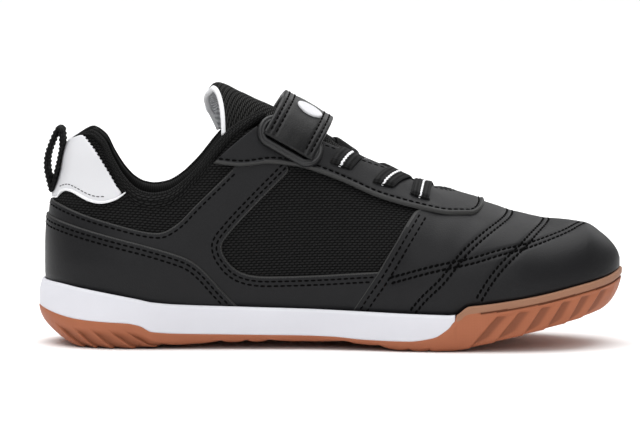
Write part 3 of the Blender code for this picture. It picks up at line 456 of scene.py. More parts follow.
HEEL_BACK = Stations(
    "z x",
    [
        (16, -109.8),
        (27, -110.7),
        (38, -110.7),
        (52, -110.0),
        (58, -109.0),
        (62, -107.2),
        (74, -103.6),
        (84, -99.6),
    ],
)
LAST = Stations(
    "x medial lateral centre wide ridge n m",
    [
        (-112, 28.0, 28.6, 0.0, 34, 141, 1.2, 1.0),
        (-80, 28.0, 28.9, 0.0, 34, 141, 1.2, 1.0),
        (-60, 27.6, 30.2, 0.0, 34, 125, 1.5, 1.1),
        (-40, 27.2, 31.8, 0.0, 34, 107, 2.0, 2.5),
        (-20, 27.2, 33.0, 0.0, 32, 96, 2.0, 2.4),
        (0, 29.2, 35.4, 0.0, 30, 85, 2.0, 1.9),
        (12, 31.6, 37.2, 0.0, 29, 76.6, 2.0, 1.9),
        (20, 33.8, 38.2, 0.0, 28, 72.2, 2.0, 1.9),
        (33, 37.2, 38.8, 0.0, 26.8, 64.4, 2.1, 1.95),
        (46, 39.2, 38.5, 0.0, 25.6, 58.6, 2.2, 2.0),
        (60, 39.6, 37.2, 0.0, 25, 54.4, 2.2, 2.0),
        (73, 39.4, 36.0, -0.4, 25, 50.4, 2.2, 2.0),
        (82, 38.4, 34.2, -0.9, 25.4, 48.4, 2.2, 2.0),
        (100, 37.0, 32.4, -2.6, 27, 46.4, 2.2, 2.1),
        (106.3, 36.4, 31.8, -3.3, 27.6, 42.4, 2.2, 2.1),
        (110.3, 36.0, 31.4, -3.7, 28, 38.6, 2.2, 2.1),
        (112.2, 36.0, 31.2, -3.9, 28, 35.6, 2.2, 2.1),
        (112.8, 36.0, 31.2, -4.0, 28, 33.6, 2.2, 2.1),
    ],
)
COLLAR = Stations(
    "x edge height",
    [
        (-112, 80.5, 3.2),
        (-104.5, 84.2, 3.3),
        (-98, 81.5, 3.8),
        (-91, 74.2, 4.8),
        (-85.4, 68, 5.6),
        (-80, 63.5, 6.2),
        (-75.5, 61.4, 6.6),
        (-71, 60.7, 6.8),
        (-66, 61.4, 6.8),
        (-62, 63.3, 6.8),
        (-54, 70.4, 6.6),
        (-45.6, 80, 6.2),
        (-38, 86.8, 5.6),
        (-30, 91.5, 5.0),
        (-20, 95, 5.0),
    ],
)
THROAT_HALF = Stations(
    "x half",
    [
        (-34, 20),
        (-24, 16.6),
        (-12, 14.6),
        (0, 13.6),
        (12, 12.4),
        (20, 11.4),
        (33, 9.4),
        (40, 7.4),
        (44.5, 4.6),
        (46.8, 0),
    ],
)
print("widest sole:", round(float(SOLE_PLAN.medial(55) + SOLE_PLAN.lateral(55)), 1), "mm")

# %% [markdown]
# ## The upper as one function
# Every panel lies on the same surface, so the surface is one function: a plan position q that runs round
# the shoe from the heel (0) to the toe (1 outside, -1 inside), and a height. A second pair of numbers,
# millimetres round the plan and millimetres up the side, works like a flat leather pattern: lengths on it
# are lengths on the shoe.


# %% The upper's surface
def superellipse_end(x, tip, reach, power):
    """Closes an end: 0 at the tip, 1 from reach inwards, a superellipse in between."""
    d = np.clip(1 - np.abs(x - tip) / reach, 0, 1)
    return np.maximum(1 - d**power, 0) ** (1 / power)


def wrap(q):
    """The same place round the shoe, as a q from -1 up to 1."""
    return (np.asarray(q, float) + 1) % 2 - 1


def to_q(x, back, front):
    """The q, from 0 to 1, at which the plan between two tips has reached x."""
    mid, half = (front + back) / 2, (front - back) / 2
    return np.arccos(np.clip((mid - np.asarray(x, float)) / half, -1, 1)) / math.pi


def upper_x(q):
    """Station of q: a cosine, so that places crowd together at both tips."""
    return (TOE + HEEL) / 2 - (TOE - HEEL) / 2 * np.cos(math.pi * wrap(q))


def upper_q(x):
    """The q, from 0 to 1, at a station of the upper."""
    return to_q(x, HEEL, TOE)


def heel_lean(z):
    """How far the heel reaches back at height z, as a share of its furthest reach."""
    return (SHEAR_END - HEEL_BACK.x(z)) / (SHEAR_END - HEEL)


def plan_x(x, z):
    """Undoes the heel's lean: the plan station of a point seen at x and z."""
    x = np.asarray(x, float)
    return np.where(x < SHEAR_END, SHEAR_END - (SHEAR_END - x) / heel_lean(z), x)


def feather_at(x):
    """Height of the upper's lower edge, just over the footbed."""
    return SOLE_SIDE.bed(x) + 0.3


OUTER_DROP = 2.8  # mm by which the outer half of the instep is lower along the laces


def ridge_at(q):
    """Height of the ridge. Along the laces the outer half is lower, as an instep slopes away."""
    x = upper_x(q)
    laces = np.clip((x + 10) / 20, 0, 1) * np.clip((46.5 - x) / 12, 0, 1)
    return LAST.ridge(x) - np.where(wrap(q) > 0, OUTER_DROP, 0) * laces**2 * (3 - 2 * laces)


def upper_at(q, z):
    """Upper's outside at q and z: 1 = (y / reach)^m + (rise / height)^n, leaning at the heel."""
    q = wrap(q)
    z = np.asarray(z, float)
    x = upper_x(q)
    end = superellipse_end(x, HEEL, 34, 2.1) * superellipse_end(x, TOE, 48, 2.05)
    reach = np.where(q < 0, -LAST.medial(x), LAST.lateral(x)) * end
    wide, ridge, feather = LAST.wide(x), ridge_at(q), feather_at(x)
    over = np.clip((z - wide) / (ridge - wide), 0, 1)
    under = np.clip((wide - z) / (wide - feather), 0, 1)
    shape = np.maximum(1 - over ** LAST.n(x), 0) ** (1 / LAST.m(x)) * (1 - 0.06 * under**2)
    leaned = np.where(x < SHEAR_END, SHEAR_END - (SHEAR_END - x) * heel_lean(z), x)
    return np.stack(np.broadcast_arrays(leaned, LAST.centre(x) + reach * shape, z), -1)


def run_of(line):
    """Length along a line up to each of its points."""
    return np.concatenate([[0], np.cumsum(np.linalg.norm(np.diff(line, axis=0), axis=1))])


Q_GRID = np.linspace(-1, 1, 961)
T_GRID = np.linspace(0, 1, 241)


def girth_tables():
    """For each q: height by share of the section's length, that share by height, and the length itself."""
    x = upper_x(Q_GRID)[:, None]
    wide, ridge, low = LAST.wide(x), ridge_at(Q_GRID)[:, None], feather_at(x)
    rise = np.sin(np.linspace(0, math.pi / 2, 160))[1:]
    z = np.concatenate([low + (wide - low) * np.linspace(0, 1, 16), wide + (ridge - wide) * rise], axis=1)
    points = upper_at(np.broadcast_to(Q_GRID[:, None], z.shape), z)
    steps = np.linalg.norm(np.diff(points[..., 1:], axis=1), axis=2)
    run = np.concatenate([np.zeros((len(x), 1)), np.cumsum(steps, axis=1)], axis=1)
    heights = np.array([np.interp(T_GRID * r[-1], r, h) for r, h in zip(run, z)])
    shares = np.array([np.interp(h[0] + T_GRID * (h[-1] - h[0]), h, r / r[-1]) for r, h in zip(run, z)])
    return heights, shares, run[:, -1]


HEIGHTS, SHARES, LENGTHS = girth_tables()
ROUND = run_of(upper_at(Q_GRID, LAST.wide(upper_x(Q_GRID))))
ROUND -= np.interp(0, Q_GRID, ROUND)


def looked_up(table, q, t):
    """Reads a table over q and a share from 0 to 1, straight between its entries."""
    i = np.clip((wrap(q) + 1) / 2 * (len(Q_GRID) - 1), 0, len(Q_GRID) - 1.001)
    j = np.clip(np.asarray(t, float) * (len(T_GRID) - 1), 0, len(T_GRID) - 1.001)
    i, j = np.broadcast_arrays(i, j)
    a, b = i.astype(int), j.astype(int)
    u, v = i - a, j - b
    near = table[a, b] * (1 - v) + table[a, b + 1] * v
    far = table[a + 1, b] * (1 - v) + table[a + 1, b + 1] * v
    return near * (1 - u) + far * u


def share_at(q, z):
    """Share of the section's length from its lower edge up to height z."""
    x = upper_x(q)
    low = feather_at(x)
    return looked_up(SHARES, q, (np.asarray(z, float) - low) / (ridge_at(q) - low))


def on_pattern(s, v):
    """Point of the upper at s mm round the plan and v mm up the section."""
    q = np.interp(s, ROUND, Q_GRID)
    z = looked_up(HEIGHTS, q, np.asarray(v, float) / np.interp(q, Q_GRID, LENGTHS))
    return upper_at(q, z)


def on_girth(q, r):
    """Point of the upper at q and girth r: 0 on the ridge, 1 at the foot, negative on the inner side."""
    q, r = np.broadcast_arrays(np.asarray(q, float), np.asarray(r, float))
    side = np.where(r < 0, -q, q)
    return upper_at(side, looked_up(HEIGHTS, side, 1 - np.abs(r)))


def to_pattern(xz, side):
    """Flat pattern place of points seen from the side at x and z."""
    x, z = np.asarray(xz, float).T
    q = side * upper_q(plan_x(x, z))
    return np.column_stack([np.interp(q, Q_GRID, ROUND), share_at(q, z) * np.interp(q, Q_GRID, LENGTHS)])


HEART_REACH, HEART_HEIGHT = 75.0, 34.0  # mm; a line inside the shoe that every normal points away from
SLOPE_STEPS = {upper_at: (1e-4, 0.05), on_pattern: (0.05, 0.05), on_girth: (2e-4, 1e-2)}


def unit(v):
    """Vectors of length 1 that point the same way."""
    return v / np.linalg.norm(v, axis=-1, keepdims=True)


def outward(surface, u, v):
    """Unit normals of a surface of two numbers, away from the foot, from its slopes both ways."""
    du, dv = SLOPE_STEPS[surface]
    across = np.cross(surface(u + du, v) - surface(u - du, v), surface(u, v + dv) - surface(u, v - dv))
    size = np.linalg.norm(across, axis=-1, keepdims=True)
    middle = surface(u, v)
    heart = np.zeros_like(middle)
    heart[..., 0] = np.clip(middle[..., 0], -HEART_REACH, HEART_REACH)
    heart[..., 2] = HEART_HEIGHT
    away = unit(middle - heart)
    across = np.where(size > 1e-8, across / np.maximum(size, 1e-8), away)
    return np.where(np.sum(across * away, -1, keepdims=True) < 0, -across, across)


def seen(points):
    """Places measured in the picture, in pixels, as x and z on the near side of the upper."""
    px, py = np.array(points, float).T
    x = (px - MIDDLE_PX) * SCALE
    up = (FLOOR_PX - py) * SCALE
    y = np.full(len(x), -30.0)  # a first guess, which a few rounds put right
    for _ in range(8):
        z = (up - y * math.sin(TILT)) / math.cos(TILT)
        y = upper_at(-upper_q(plan_x(x, z)), z)[:, 1]
    return np.column_stack([x, z])


BALL_Q = 0.7
print("girth at the ball:", round(float(np.interp([-BALL_Q, BALL_Q], Q_GRID, LENGTHS).sum())), "mm")

# %% [markdown]
# ## Meshes from arrays
# Blender takes whole arrays of points and corners at once, which is far quicker than adding vertices one by
# one. A sheet of leather is a surface lifted twice, once for its face and once for its back, joined round
# the rim.


# %% Mesh helpers
def grid_faces(rows, columns, start=0):
    """Quads of a grid whose points are stored row by row."""
    i, j = np.meshgrid(np.arange(rows - 1), np.arange(columns - 1), indexing="ij")
    a = start + i * columns + j
    return np.stack([a, a + 1, a + columns + 1, a + columns], -1).reshape(-1, 4)


def tidy_faces(faces, index):
    """Faces on welded points: a quad that lost an edge becomes a triangle, and what collapsed is dropped."""
    out = []
    for block in faces:
        block = index[np.asarray(block)]
        lost = (block == np.roll(block, -1, axis=1)).sum(axis=1)
        out.append(block[lost == 0])
        if block.shape[1] == 4:
            bent = block[lost == 1]
            keep = bent != np.roll(bent, -1, axis=1)
            out.append(bent[keep].reshape(-1, 3))
    return [block for block in out if len(block)]


def weld(points):
    """Index of each point among those that differ by more than a micrometre."""
    _, first, index = np.unique(np.round(points, 3), axis=0, return_index=True, return_inverse=True)
    return first, index.reshape(-1)


def add_piece(name, points, faces, finishes, slot, stands_for=(), flat=None, which=None):
    """Adds a mesh: points in mm, blocks of faces, finishes and the number of each face's finish."""
    mesh = bpy.data.meshes.new(name)
    corners = np.concatenate([block.reshape(-1) for block in faces]).astype(np.int32)
    sizes = np.concatenate([np.full(len(block), block.shape[1]) for block in faces])
    mesh.vertices.add(len(points))
    mesh.vertices.foreach_set("co", (np.asarray(points) * MM).astype(np.float32).ravel())
    mesh.loops.add(len(corners))
    mesh.loops.foreach_set("vertex_index", corners)
    mesh.polygons.add(len(sizes))
    mesh.polygons.foreach_set("loop_start", np.concatenate([[0], np.cumsum(sizes)[:-1]]).astype(np.int32))
    for finish in finishes:
        mesh.materials.append(finish)
    if which is not None:
        mesh.polygons.foreach_set("material_index", np.asarray(which).astype(np.int32))
    if flat is not None:
        layer = mesh.uv_layers.new(name="pattern")
        layer.data.foreach_set("uv", (flat[corners] / 100).astype(np.float32).ravel())
    mesh.update(calc_edges=True)
    mesh.validate()
    mesh.shade_smooth()
    made = bpy.data.objects.new(name, mesh)
    bpy.context.scene.collection.objects.link(made)
    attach(made, "root")
    if stands_for:
        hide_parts(*stands_for)
    print(name, "faces:", len(mesh.polygons))
    return made


def rim_faces(faces, count):
    """Quads that join the edges of a sheet used by one face only to the same edges of its back."""
    edges = np.concatenate([np.stack([b, np.roll(b, -1, axis=1)], -1).reshape(-1, 2) for b in faces])
    single = ~np.isin(edges[:, 1] * count + edges[:, 0], edges[:, 0] * count + edges[:, 1])
    a, b = edges[single].T
    return np.stack([b, a, a + count, b + count], -1)


def sheet(base, normal, faces, top, back, flat=None):
    """A closed sheet between two heights over a surface: points, all faces, flat pattern, front faces."""
    base, normal = base.reshape(-1, 3), normal.reshape(-1, 3)
    first, index = weld(base)
    pooled = np.zeros((len(first), 3))
    np.add.at(pooled, index, normal)
    pooled /= np.maximum(np.linalg.norm(pooled, axis=1, keepdims=True), 1e-9)
    faces = tidy_faces(faces, index)
    place = base[first]
    corner = place[faces[0]]
    facing = np.cross(corner[:, 1] - corner[:, 0], corner[:, 2] - corner[:, 0])
    turn = np.sum(facing * pooled[faces[0][:, 0]])
    faces = faces if turn > 0 else [block[:, ::-1] for block in faces]
    top, back = (np.broadcast_to(np.ravel(h), len(base))[first][:, None] for h in (top, back))
    points = np.concatenate([place + pooled * top, place + pooled * back])
    blocks = faces + [block[:, ::-1] + len(place) for block in faces] + [rim_faces(faces, len(place))]
    flat = None if flat is None else np.tile(flat.reshape(len(base), -1)[first], (2, 1))
    return points, blocks, flat, faces


def pattern(first, second):
    """A flat pattern from two lengths, stretched to one grid."""
    return np.stack(np.broadcast_arrays(first, second), -1).reshape(-1, 2)


def count_of(blocks):
    """Number of faces, or of points, in all the blocks."""
    return sum(len(block) for block in blocks)


# %% [markdown]
# ## The sole
# The sole is moulded, so its wall is a profile carried round the plan outline. The gum wall rolls in under
# the foot, most of all at the heel. Leaning ribs are cut into it as saw teeth, and a thin groove follows
# the rim of the cup.


# %% Sole outline and ribs
RIBS = Stations(
    "top low",
    [
        (-115, -115),
        (-110, -100),
        (-102.5, -93.5),
        (-95.5, -86),
        (-88.5, -77),
        (-82, -68),
        (-70, -57),
        (-50, -44),
        (-20, -20),
        (30, 24),
        (52, 42),
        (65.7, 54),
        (74.4, 63.7),
        (83, 75.5),
        (91.3, 84.6),
        (98.8, 93.7),
        (106.7, 101),
        (115, 115),
    ],
)
RIB_ENDS = ((-110, -102.5, -95.5, -88.5, -82, -75), (65.7, 74.4, 83, 91.3, 98.8, 106.7, 112.5))
RIB_DEPTH, RIB_TOP = 1.25, 0.74  # mm, and the share of the wall's height where ribs begin
WALL_ROLL = 4.2, 19.5, 4.0  # mm that the wall rolls in: all round, and more at the heel and toe
RIM_BAND = 3.0  # height of the paler band along the cup's rim
LUG_EDGES = (-75, -66, -43, -33, -24.5, 5.5, 18, 30, 38.5)  # where lugs of the underside meet, along x


def step(x, low, high):
    """0 below low, 1 above high, smooth between them."""
    t = np.clip((np.asarray(x, float) - low) / (high - low), 0, 1)
    return t * t * (3 - 2 * t)


def bell(distance, wide):
    """1 at distance 0, falling off smoothly to 0 past about twice wide."""
    return np.exp(-((distance / wide) ** 2))


def sole_plan(q):
    """Sole's outline at q: half widths from the table, closed at both ends by superellipses."""
    q = wrap(q)
    x = -HALF * np.cos(math.pi * q)
    end = superellipse_end(x, -HALF, 36, 2.1) * superellipse_end(x, HALF, 50, 2.05)
    half = np.where(q < 0, -SOLE_PLAN.medial(x), SOLE_PLAN.lateral(x))
    return np.stack([x, SOLE_PLAN.centre(x) + half * end], -1)


def sole_inset(q, inset):
    """The outline moved inwards along its own normal, and the normal."""
    along = unit(sole_plan(q + 1e-4) - sole_plan(q - 1e-4))
    normal = np.stack([-along[..., 1], along[..., 0]], -1)
    return sole_plan(q) - normal * inset[..., None], normal


def rib(start):
    """Saw-tooth depth, 0 to 1, by the station of a rib's top: a steep flank, then a slow rise."""
    depth = np.zeros_like(start)
    for ends in RIB_ENDS:
        for a, b in zip(ends[:-1], ends[1:]):
            tooth = step(start, a, a + 0.9) * np.clip((b - start) / (b - a - 0.9), 0, 1) ** 0.8
            depth = np.where((start > a) & (start <= b), tooth, depth)
    return depth


def scallop(x):
    """Small arches between the lugs of the underside, 0 in the middle of a lug and 1 where two meet."""
    edges = np.array(LUG_EDGES)
    i = np.clip(np.searchsorted(edges, x) - 1, 0, len(edges) - 2)
    t = (x - edges[i]) / (edges[i + 1] - edges[i])
    return np.where((t > 0) & (t < 1), np.abs(2 * t - 1) ** 3, 0)


def ladder(middle, start, turn):
    """Quads straight across a ring whose points run from one tip round to the other."""
    k = np.arange(middle)
    quads = np.stack([middle - k, middle + k, middle + k + 1, middle - k - 1], -1) + start
    return quads if turn else quads[:, ::-1]


# %% [markdown]
# The outsole is moulded in one piece: wall, ribs and the cup round the forefoot. Ribs could be cut with
# booleans, but those leave ragged faces on a curved wall. Here the wall's own rows of points move in by the
# saw teeth, so the ribs lean and fade out as the real ones do.


# %% Gum outsole
def build_outsole(columns=1081, rows=48):
    """Rows from the lip down the wall to the edge of the underside, over columns of q, then filled across."""
    q = np.linspace(-1, 1, columns)[None, :]
    level = np.linspace(1, 0, rows)[:, None]
    start = -HALF * np.cos(math.pi * q) + 0 * level
    low = np.clip((RIB_TOP - level) / RIB_TOP, 0, 1)
    x = start + (RIBS.low(start) - start) * low
    moved = np.where(np.abs(q) > 0.9999, q, np.sign(q) * to_q(x, -HALF, HALF))
    normal = sole_inset(moved, 0 * moved)[1]
    back, front = np.maximum(-normal[..., 0], 0), np.maximum(normal[..., 0], 0)
    side_roll, heel_roll, toe_roll = WALL_ROLL
    reach = side_roll + heel_roll * back**3 + toe_roll * front**3
    rolled_in = reach * (1 - np.sqrt(1 - (1 - level) ** 2))
    heel_fade, toe_fade = step(low, 0, 0.4), step(low, 0.03, 0.16) * (1 - 0.5 * step(low, 0.7, 1))
    tooth = rib(start) * np.where(start < 0, heel_fade, toe_fade)
    cup = step(x, MIDSOLE_FRONT + 0.1, MIDSOLE_FRONT + 0.9)
    lip = SOLE_SIDE.joint(x) + (SOLE_SIDE.rim(x) - SOLE_SIDE.joint(x)) * cup
    tall = lip - SOLE_SIDE.bottom(x)
    below = (1 - level) * tall
    groove = bell(below - RIM_BAND - 0.1, 0.42) * step(x, 57.5, 59) * 0.8
    lip_roll = 0.55 * np.clip(1 - below / 0.9, 0, 1) ** 2.5
    plan, normal = sole_inset(moved, rolled_in + tooth * RIB_DEPTH + groove + lip_roll)
    under = np.maximum(tooth * 0.55 * step(low, 0.7, 1), scallop(x) * 0.8 * step(low, 0.4, 1))
    z = np.maximum(SOLE_SIDE.bottom(plan[..., 0]) + tall * level + under, 0)
    wall = np.concatenate([plan, z[..., None]], -1)
    inner = SOLE_PLAN.rim(start[:1])
    ledge = sole_inset(q, inner)[0]
    floor = sole_inset(q, inner + 0.4)[0]
    bed = SOLE_SIDE.joint(start[:1]) + (SOLE_SIDE.bed(start[:1]) - SOLE_SIDE.joint(start[:1])) * cup[:1]
    ledge = np.concatenate([ledge, z[:1, :, None]], -1)
    floor = np.concatenate([floor, bed[..., None]], -1)
    points = np.concatenate([floor, ledge, wall])
    total = rows + 2
    middle = columns // 2
    sides = grid_faces(total, columns)[:, ::-1]
    fills = [ladder(middle, 0, True), ladder(middle, (total - 1) * columns, False)]
    # Painted shade: the rib's depth, carried on the flat pattern, darkens the gum in each hollow.
    rib_shade = np.where(start < 0, tooth, step(tooth, 0.45, 0.75))
    rib_shade = np.concatenate([np.zeros((2, columns)), rib_shade]).reshape(-1)
    band = np.concatenate([np.ones((2, columns)), (below < RIM_BAND) * cup])
    points = points.reshape(-1, 3)
    rim = (band.reshape(-1)[sides].mean(1) > 0.9) & (points[sides].mean(1)[:, 0] > MIDSOLE_FRONT + 0.2)
    # Faces in the groove under the rim take the darkest gum: painted shade in the groove.
    line = np.concatenate([np.zeros((2, columns)), groove]).reshape(-1)[sides].mean(1) > 0.4
    which = np.concatenate([np.select([line, rim], [2, 1], 0), np.zeros(2 * middle)])
    finishes = [GUM, GUM_RIM, GUM_LINE_SHADE]
    flat = np.column_stack([rib_shade, rib_shade])
    add_piece("gum_outsole", points, [sides] + fills, finishes, "gum_rubber", ["outsole"], flat, which)


build_outsole()


# %% [markdown]
# The midsole is one foam wedge from the heel to the ball. Its wall is nearly upright and its top edge is a
# soft lip, so it is the same outline with only a few heights, and it meets the gum with no gap.


# %% Foam midsole
FOAM_LIP = 1.3  # radius of the lip


def build_midsole(columns=721):
    """Rows of inset and height over the outline: inside floor, lip, wall, and the bottom inside the gum."""
    last = float(to_q(MIDSOLE_FRONT + 0.3, -HALF, HALF))
    q = np.linspace(-last, last, columns)[None, :]
    x = -HALF * np.cos(math.pi * q)
    rim, joint, bed = SOLE_SIDE.rim(x), SOLE_SIDE.joint(x) - 0.25, SOLE_SIDE.bed(x)
    turn = np.linspace(0, math.pi / 2, 7)[:, None]
    lip_in, lip_down = FOAM_LIP * (1 - np.sin(turn)), FOAM_LIP * (1 - np.cos(turn))
    down = np.linspace(0.06, 1, 16)[1:, None]
    rounded = 1.0 * step(-x, 96, 112)  # the heel's back leans in further under its lip
    wall = 0.22 * down**2 + 0.1 * np.sin(down * math.pi) + rounded * np.clip(1 - down / 0.5, 0, 1) ** 2
    inset = [SOLE_PLAN.rim(x) + 0.4, SOLE_PLAN.rim(x) - 0.2, lip_in + rounded, wall]
    lip_top = rim + 0.25
    lip_foot = lip_top - FOAM_LIP
    height = [bed, rim - 0.4, lip_top - lip_down, lip_foot - (lip_foot - joint) * down]
    inset, height = np.concatenate(inset), np.concatenate(height)
    plan = sole_inset(np.broadcast_to(q, inset.shape), inset)[0]
    points = np.concatenate([plan, height[..., None]], -1)
    rows = len(inset)
    sides = grid_faces(rows, columns)[:, ::-1]
    middle = columns // 2
    k = np.arange(rows - 1) * columns
    cap = np.stack([k, k + columns, k + 2 * columns - 1, k + columns - 1], -1)[:, ::-1]
    fills = [ladder(middle, 0, True), ladder(middle, (rows - 1) * columns, False), cap]
    add_piece("foam_midsole", points.reshape(-1, 3), [sides] + fills, [FOAM], "white_foam", ["midsole"])


build_midsole()
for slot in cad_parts["insole"].material_slots:
    slot.material = FELT

# %% [markdown]
# ## Knit body
# The upper is a sock of knit fabric. The leather panels lie on it, and it shows in the side windows and
# round the ankle. It is the upper's function on a grid, from the sole to the top edge, and 2 mm thick.


# %% Knit upper
KNIT_THICK = 2.0


def throat_height(q):
    """Height of the throat's edge, from its half-width."""
    x = upper_x(q)
    reach = np.where(wrap(q) < 0, LAST.medial(x), LAST.lateral(x))
    over = np.maximum(1 - (THROAT_HALF.half(x) / reach) ** LAST.m(x), 0) ** (1 / LAST.n(x))
    return LAST.wide(x) + (ridge_at(q) - LAST.wide(x)) * over


def top_edge(q):
    """Height of the upper's top edge: inside the collar roll, along the throat, then the closed ridge."""
    x = upper_x(q)
    collar = COLLAR.edge(x) - COLLAR.height(x) * 0.6
    opened = np.where(x < -34, collar, np.minimum(collar, throat_height(q)))
    return np.where(x < THROAT, opened, LAST.ridge(x))


def build_upper(columns=641, rows=40):
    """Girth from the lower edge to the top edge, for each q round the shoe."""
    half = np.sort(np.concatenate([np.linspace(0, 1, columns // 2 + 1), upper_q([THROAT, THROAT - 0.6])]))
    q = np.concatenate([-half[::-1], half[1:]])[None, :]
    r = 1 - np.linspace(0, 1, rows)[:, None] * share_at(q, top_edge(q))
    q = q + 0 * r
    base = on_girth(q, r)
    normal = outward(on_girth, q, r)
    flat = pattern(np.interp(q, Q_GRID, ROUND), (1 - r) * np.interp(q, Q_GRID, LENGTHS))
    points, blocks, flat, face = sheet(base, normal, [grid_faces(*r.shape)], 0.0, -KNIT_THICK, flat)
    which = np.arange(count_of(blocks)) >= count_of(face)
    add_piece("knit_upper", points, blocks, [KNIT, LINING], "black_knit", ["upper"], flat, which)


build_upper()

# %% [markdown]
# ## Leather panels
# Panels were traced in the picture as lines of a few points. A curve through them, laid on the flat
# pattern, is the edge a cutter would follow. A panel with an arm can't be a grid, so rings of points follow
# its edge, a square net fills the rest, and a triangulation joins them. The edge is rolled down, and its
# rim is the grey cut leather.


# %% Tracing and filling a panel
def curve(points, spacing):
    """Catmull-Rom curve through points, cut evenly."""
    p = np.array(points, float)
    p = np.vstack([2 * p[0] - p[1], p, 2 * p[-1] - p[-2]])
    t = np.linspace(0, 1, 24, endpoint=False)[None, :, None]
    a, b, c, d = (p[i : len(p) - 3 + i, None] for i in range(4))
    line = 0.5 * (2 * b + (c - a) * t + (2 * a - 5 * b + 4 * c - d) * t**2 + (3 * b - a - 3 * c + d) * t**3)
    return evenly(np.vstack([line.reshape(-1, p.shape[1]), p[-2:-1]]), spacing)


def evenly(line, spacing):
    """The same line with points about one spacing apart."""
    run = run_of(line)
    count = max(2, int(round(run[-1] / spacing)) + 1)
    at = np.linspace(0, run[-1], count)
    return np.column_stack([np.interp(at, run, column) for column in line.T])


def distance_to(points, line, closed=True):
    """Distance from each point to a line, and whether it is inside a closed one."""
    a = line if closed else line[:-1]
    b = np.roll(line, -1, axis=0) if closed else line[1:]
    way = b - a
    length = np.maximum(np.sum(way**2, 1), 1e-9)
    best, crossings = np.full(len(points), np.inf), np.zeros(len(points), int)
    for part in np.array_split(np.arange(len(points)), max(1, len(points) * len(a) // 2_000_000)):
        p = points[part][:, None]
        t = np.clip(np.sum((p - a) * way, 2) / length, 0, 1)
        best[part] = np.linalg.norm(p - a - t[..., None] * way, axis=2).min(axis=1)
        spans = (a[:, 1] > p[..., 1]) != (b[:, 1] > p[..., 1])
        at = a[:, 0] + (p[..., 1] - a[:, 1]) * way[:, 0] / np.where(way[:, 1] == 0, 1, way[:, 1])
        crossings[part] = np.sum(spans & (p[..., 0] < at), axis=1)
    return best, crossings % 2 == 1


def offset(line, distance):
    """The line moved to its left by distance."""
    way = unit(np.gradient(line, axis=0))
    return line + np.column_stack([-way[:, 1], way[:, 0]]) * distance


RING_STEPS = (0.15, 0.4, 0.75, 1.2, 1.8)


def filled(edge, spacing):
    """Triangles inside a closed line, from rings and a net, and each point's distance from the line."""
    smoothed = edge
    for _ in range(3):
        before, after = np.roll(smoothed, 1, axis=0), np.roll(smoothed, -1, axis=0)
        smoothed = 0.25 * before + 0.5 * smoothed + 0.25 * after
    x, y = smoothed.T
    area = np.sum(x * np.roll(y, -1) - y * np.roll(x, -1))
    smoothed = smoothed if area > 0 else smoothed[::-1]
    way = unit(np.roll(smoothed, -1, axis=0) - np.roll(smoothed, 1, axis=0))
    inward = np.column_stack([-way[:, 1], way[:, 0]])
    kept = [smoothed]
    for ring in RING_STEPS:
        moved = smoothed + inward * ring
        far, inside = distance_to(moved, smoothed)
        kept.append(moved[inside & (far > 0.93 * ring)])
    low, high = smoothed.min(0), smoothed.max(0)
    net = np.stack(np.meshgrid(*[np.arange(a, b, spacing) for a, b in zip(low, high)]), -1).reshape(-1, 2)
    far, inside = distance_to(net, smoothed)
    kept.append(net[inside & (far > RING_STEPS[-1] + 0.5 * spacing)])
    count = len(smoothed)
    edges = [(i, (i + 1) % count) for i in range(count)]
    made = delaunay_2d_cdt([Vector(p) for p in np.vstack(kept)], edges, [list(range(count))], 1, 1e-6)
    points = np.array([tuple(v) for v in made[0]])
    return points, np.array(made[2]), distance_to(points, smoothed)[0]


def rolled(distance, thick, roll):
    """Height of a leather edge: 0 at the rim, full from roll inwards, round in between."""
    return thick * (1 - (1 - np.clip(distance / roll, 0, 1)) ** 2.4) ** (1 / 2.4)


def tucked(points):
    """1 on the open side of the shoe, falling to 0 where a panel goes down inside the sole's lip."""
    return step(points[:, 2] - SOLE_SIDE.rim(points[:, 0]), -0.9, 1.6)


def cut_faces(blocks, face, edge, wide):
    """Finish of each face: 1 on the rim and nearer to the cut edge than wide, 0 elsewhere and on the back."""
    near = np.concatenate([edge[block].mean(1) < wide for block in face])
    rim = count_of(blocks) - 2 * len(near)
    return np.concatenate([near, np.zeros(len(near)), np.ones(rim)])


BLACK, WHITE = ([BLACK_LEATHER, CUT_EDGE], "black_leather"), ([WHITE_LEATHER, WHITE_LEATHER], "white_leather")


def panel(name, edge, leather, stands_for, thick=1.0, under=0.05, roll=0.9, rim=0.55, spacing=1.7):
    """Leather (its finishes and slot) cut along a closed line on the flat pattern and laid on the upper."""
    finishes, slot = leather
    points, faces, distance = filled(edge, spacing)
    base = on_pattern(*points.T)
    normal = outward(on_pattern, *points.T)
    under = under(base) if callable(under) else under
    top = under + 0.06 + rolled(distance, thick, roll) * (0.15 + 0.85 * tucked(base))
    carried = np.column_stack([points, distance])
    made, blocks, carried, face = sheet(base, normal, [faces], top, under, carried)
    which = cut_faces(blocks, face, carried[:, 2], rim)
    add_piece(name, made, blocks, finishes, slot, stands_for, carried[:, :2], which)


# %% [markdown]
# ## Heel counter, saddles and tab
# The saddle starts behind the heel, runs forward under the ankle and splits: one arm climbs to the eyestay
# and one runs under the window to the vamp. The counter covers its lower edge. The white tab closes the
# back of the collar.

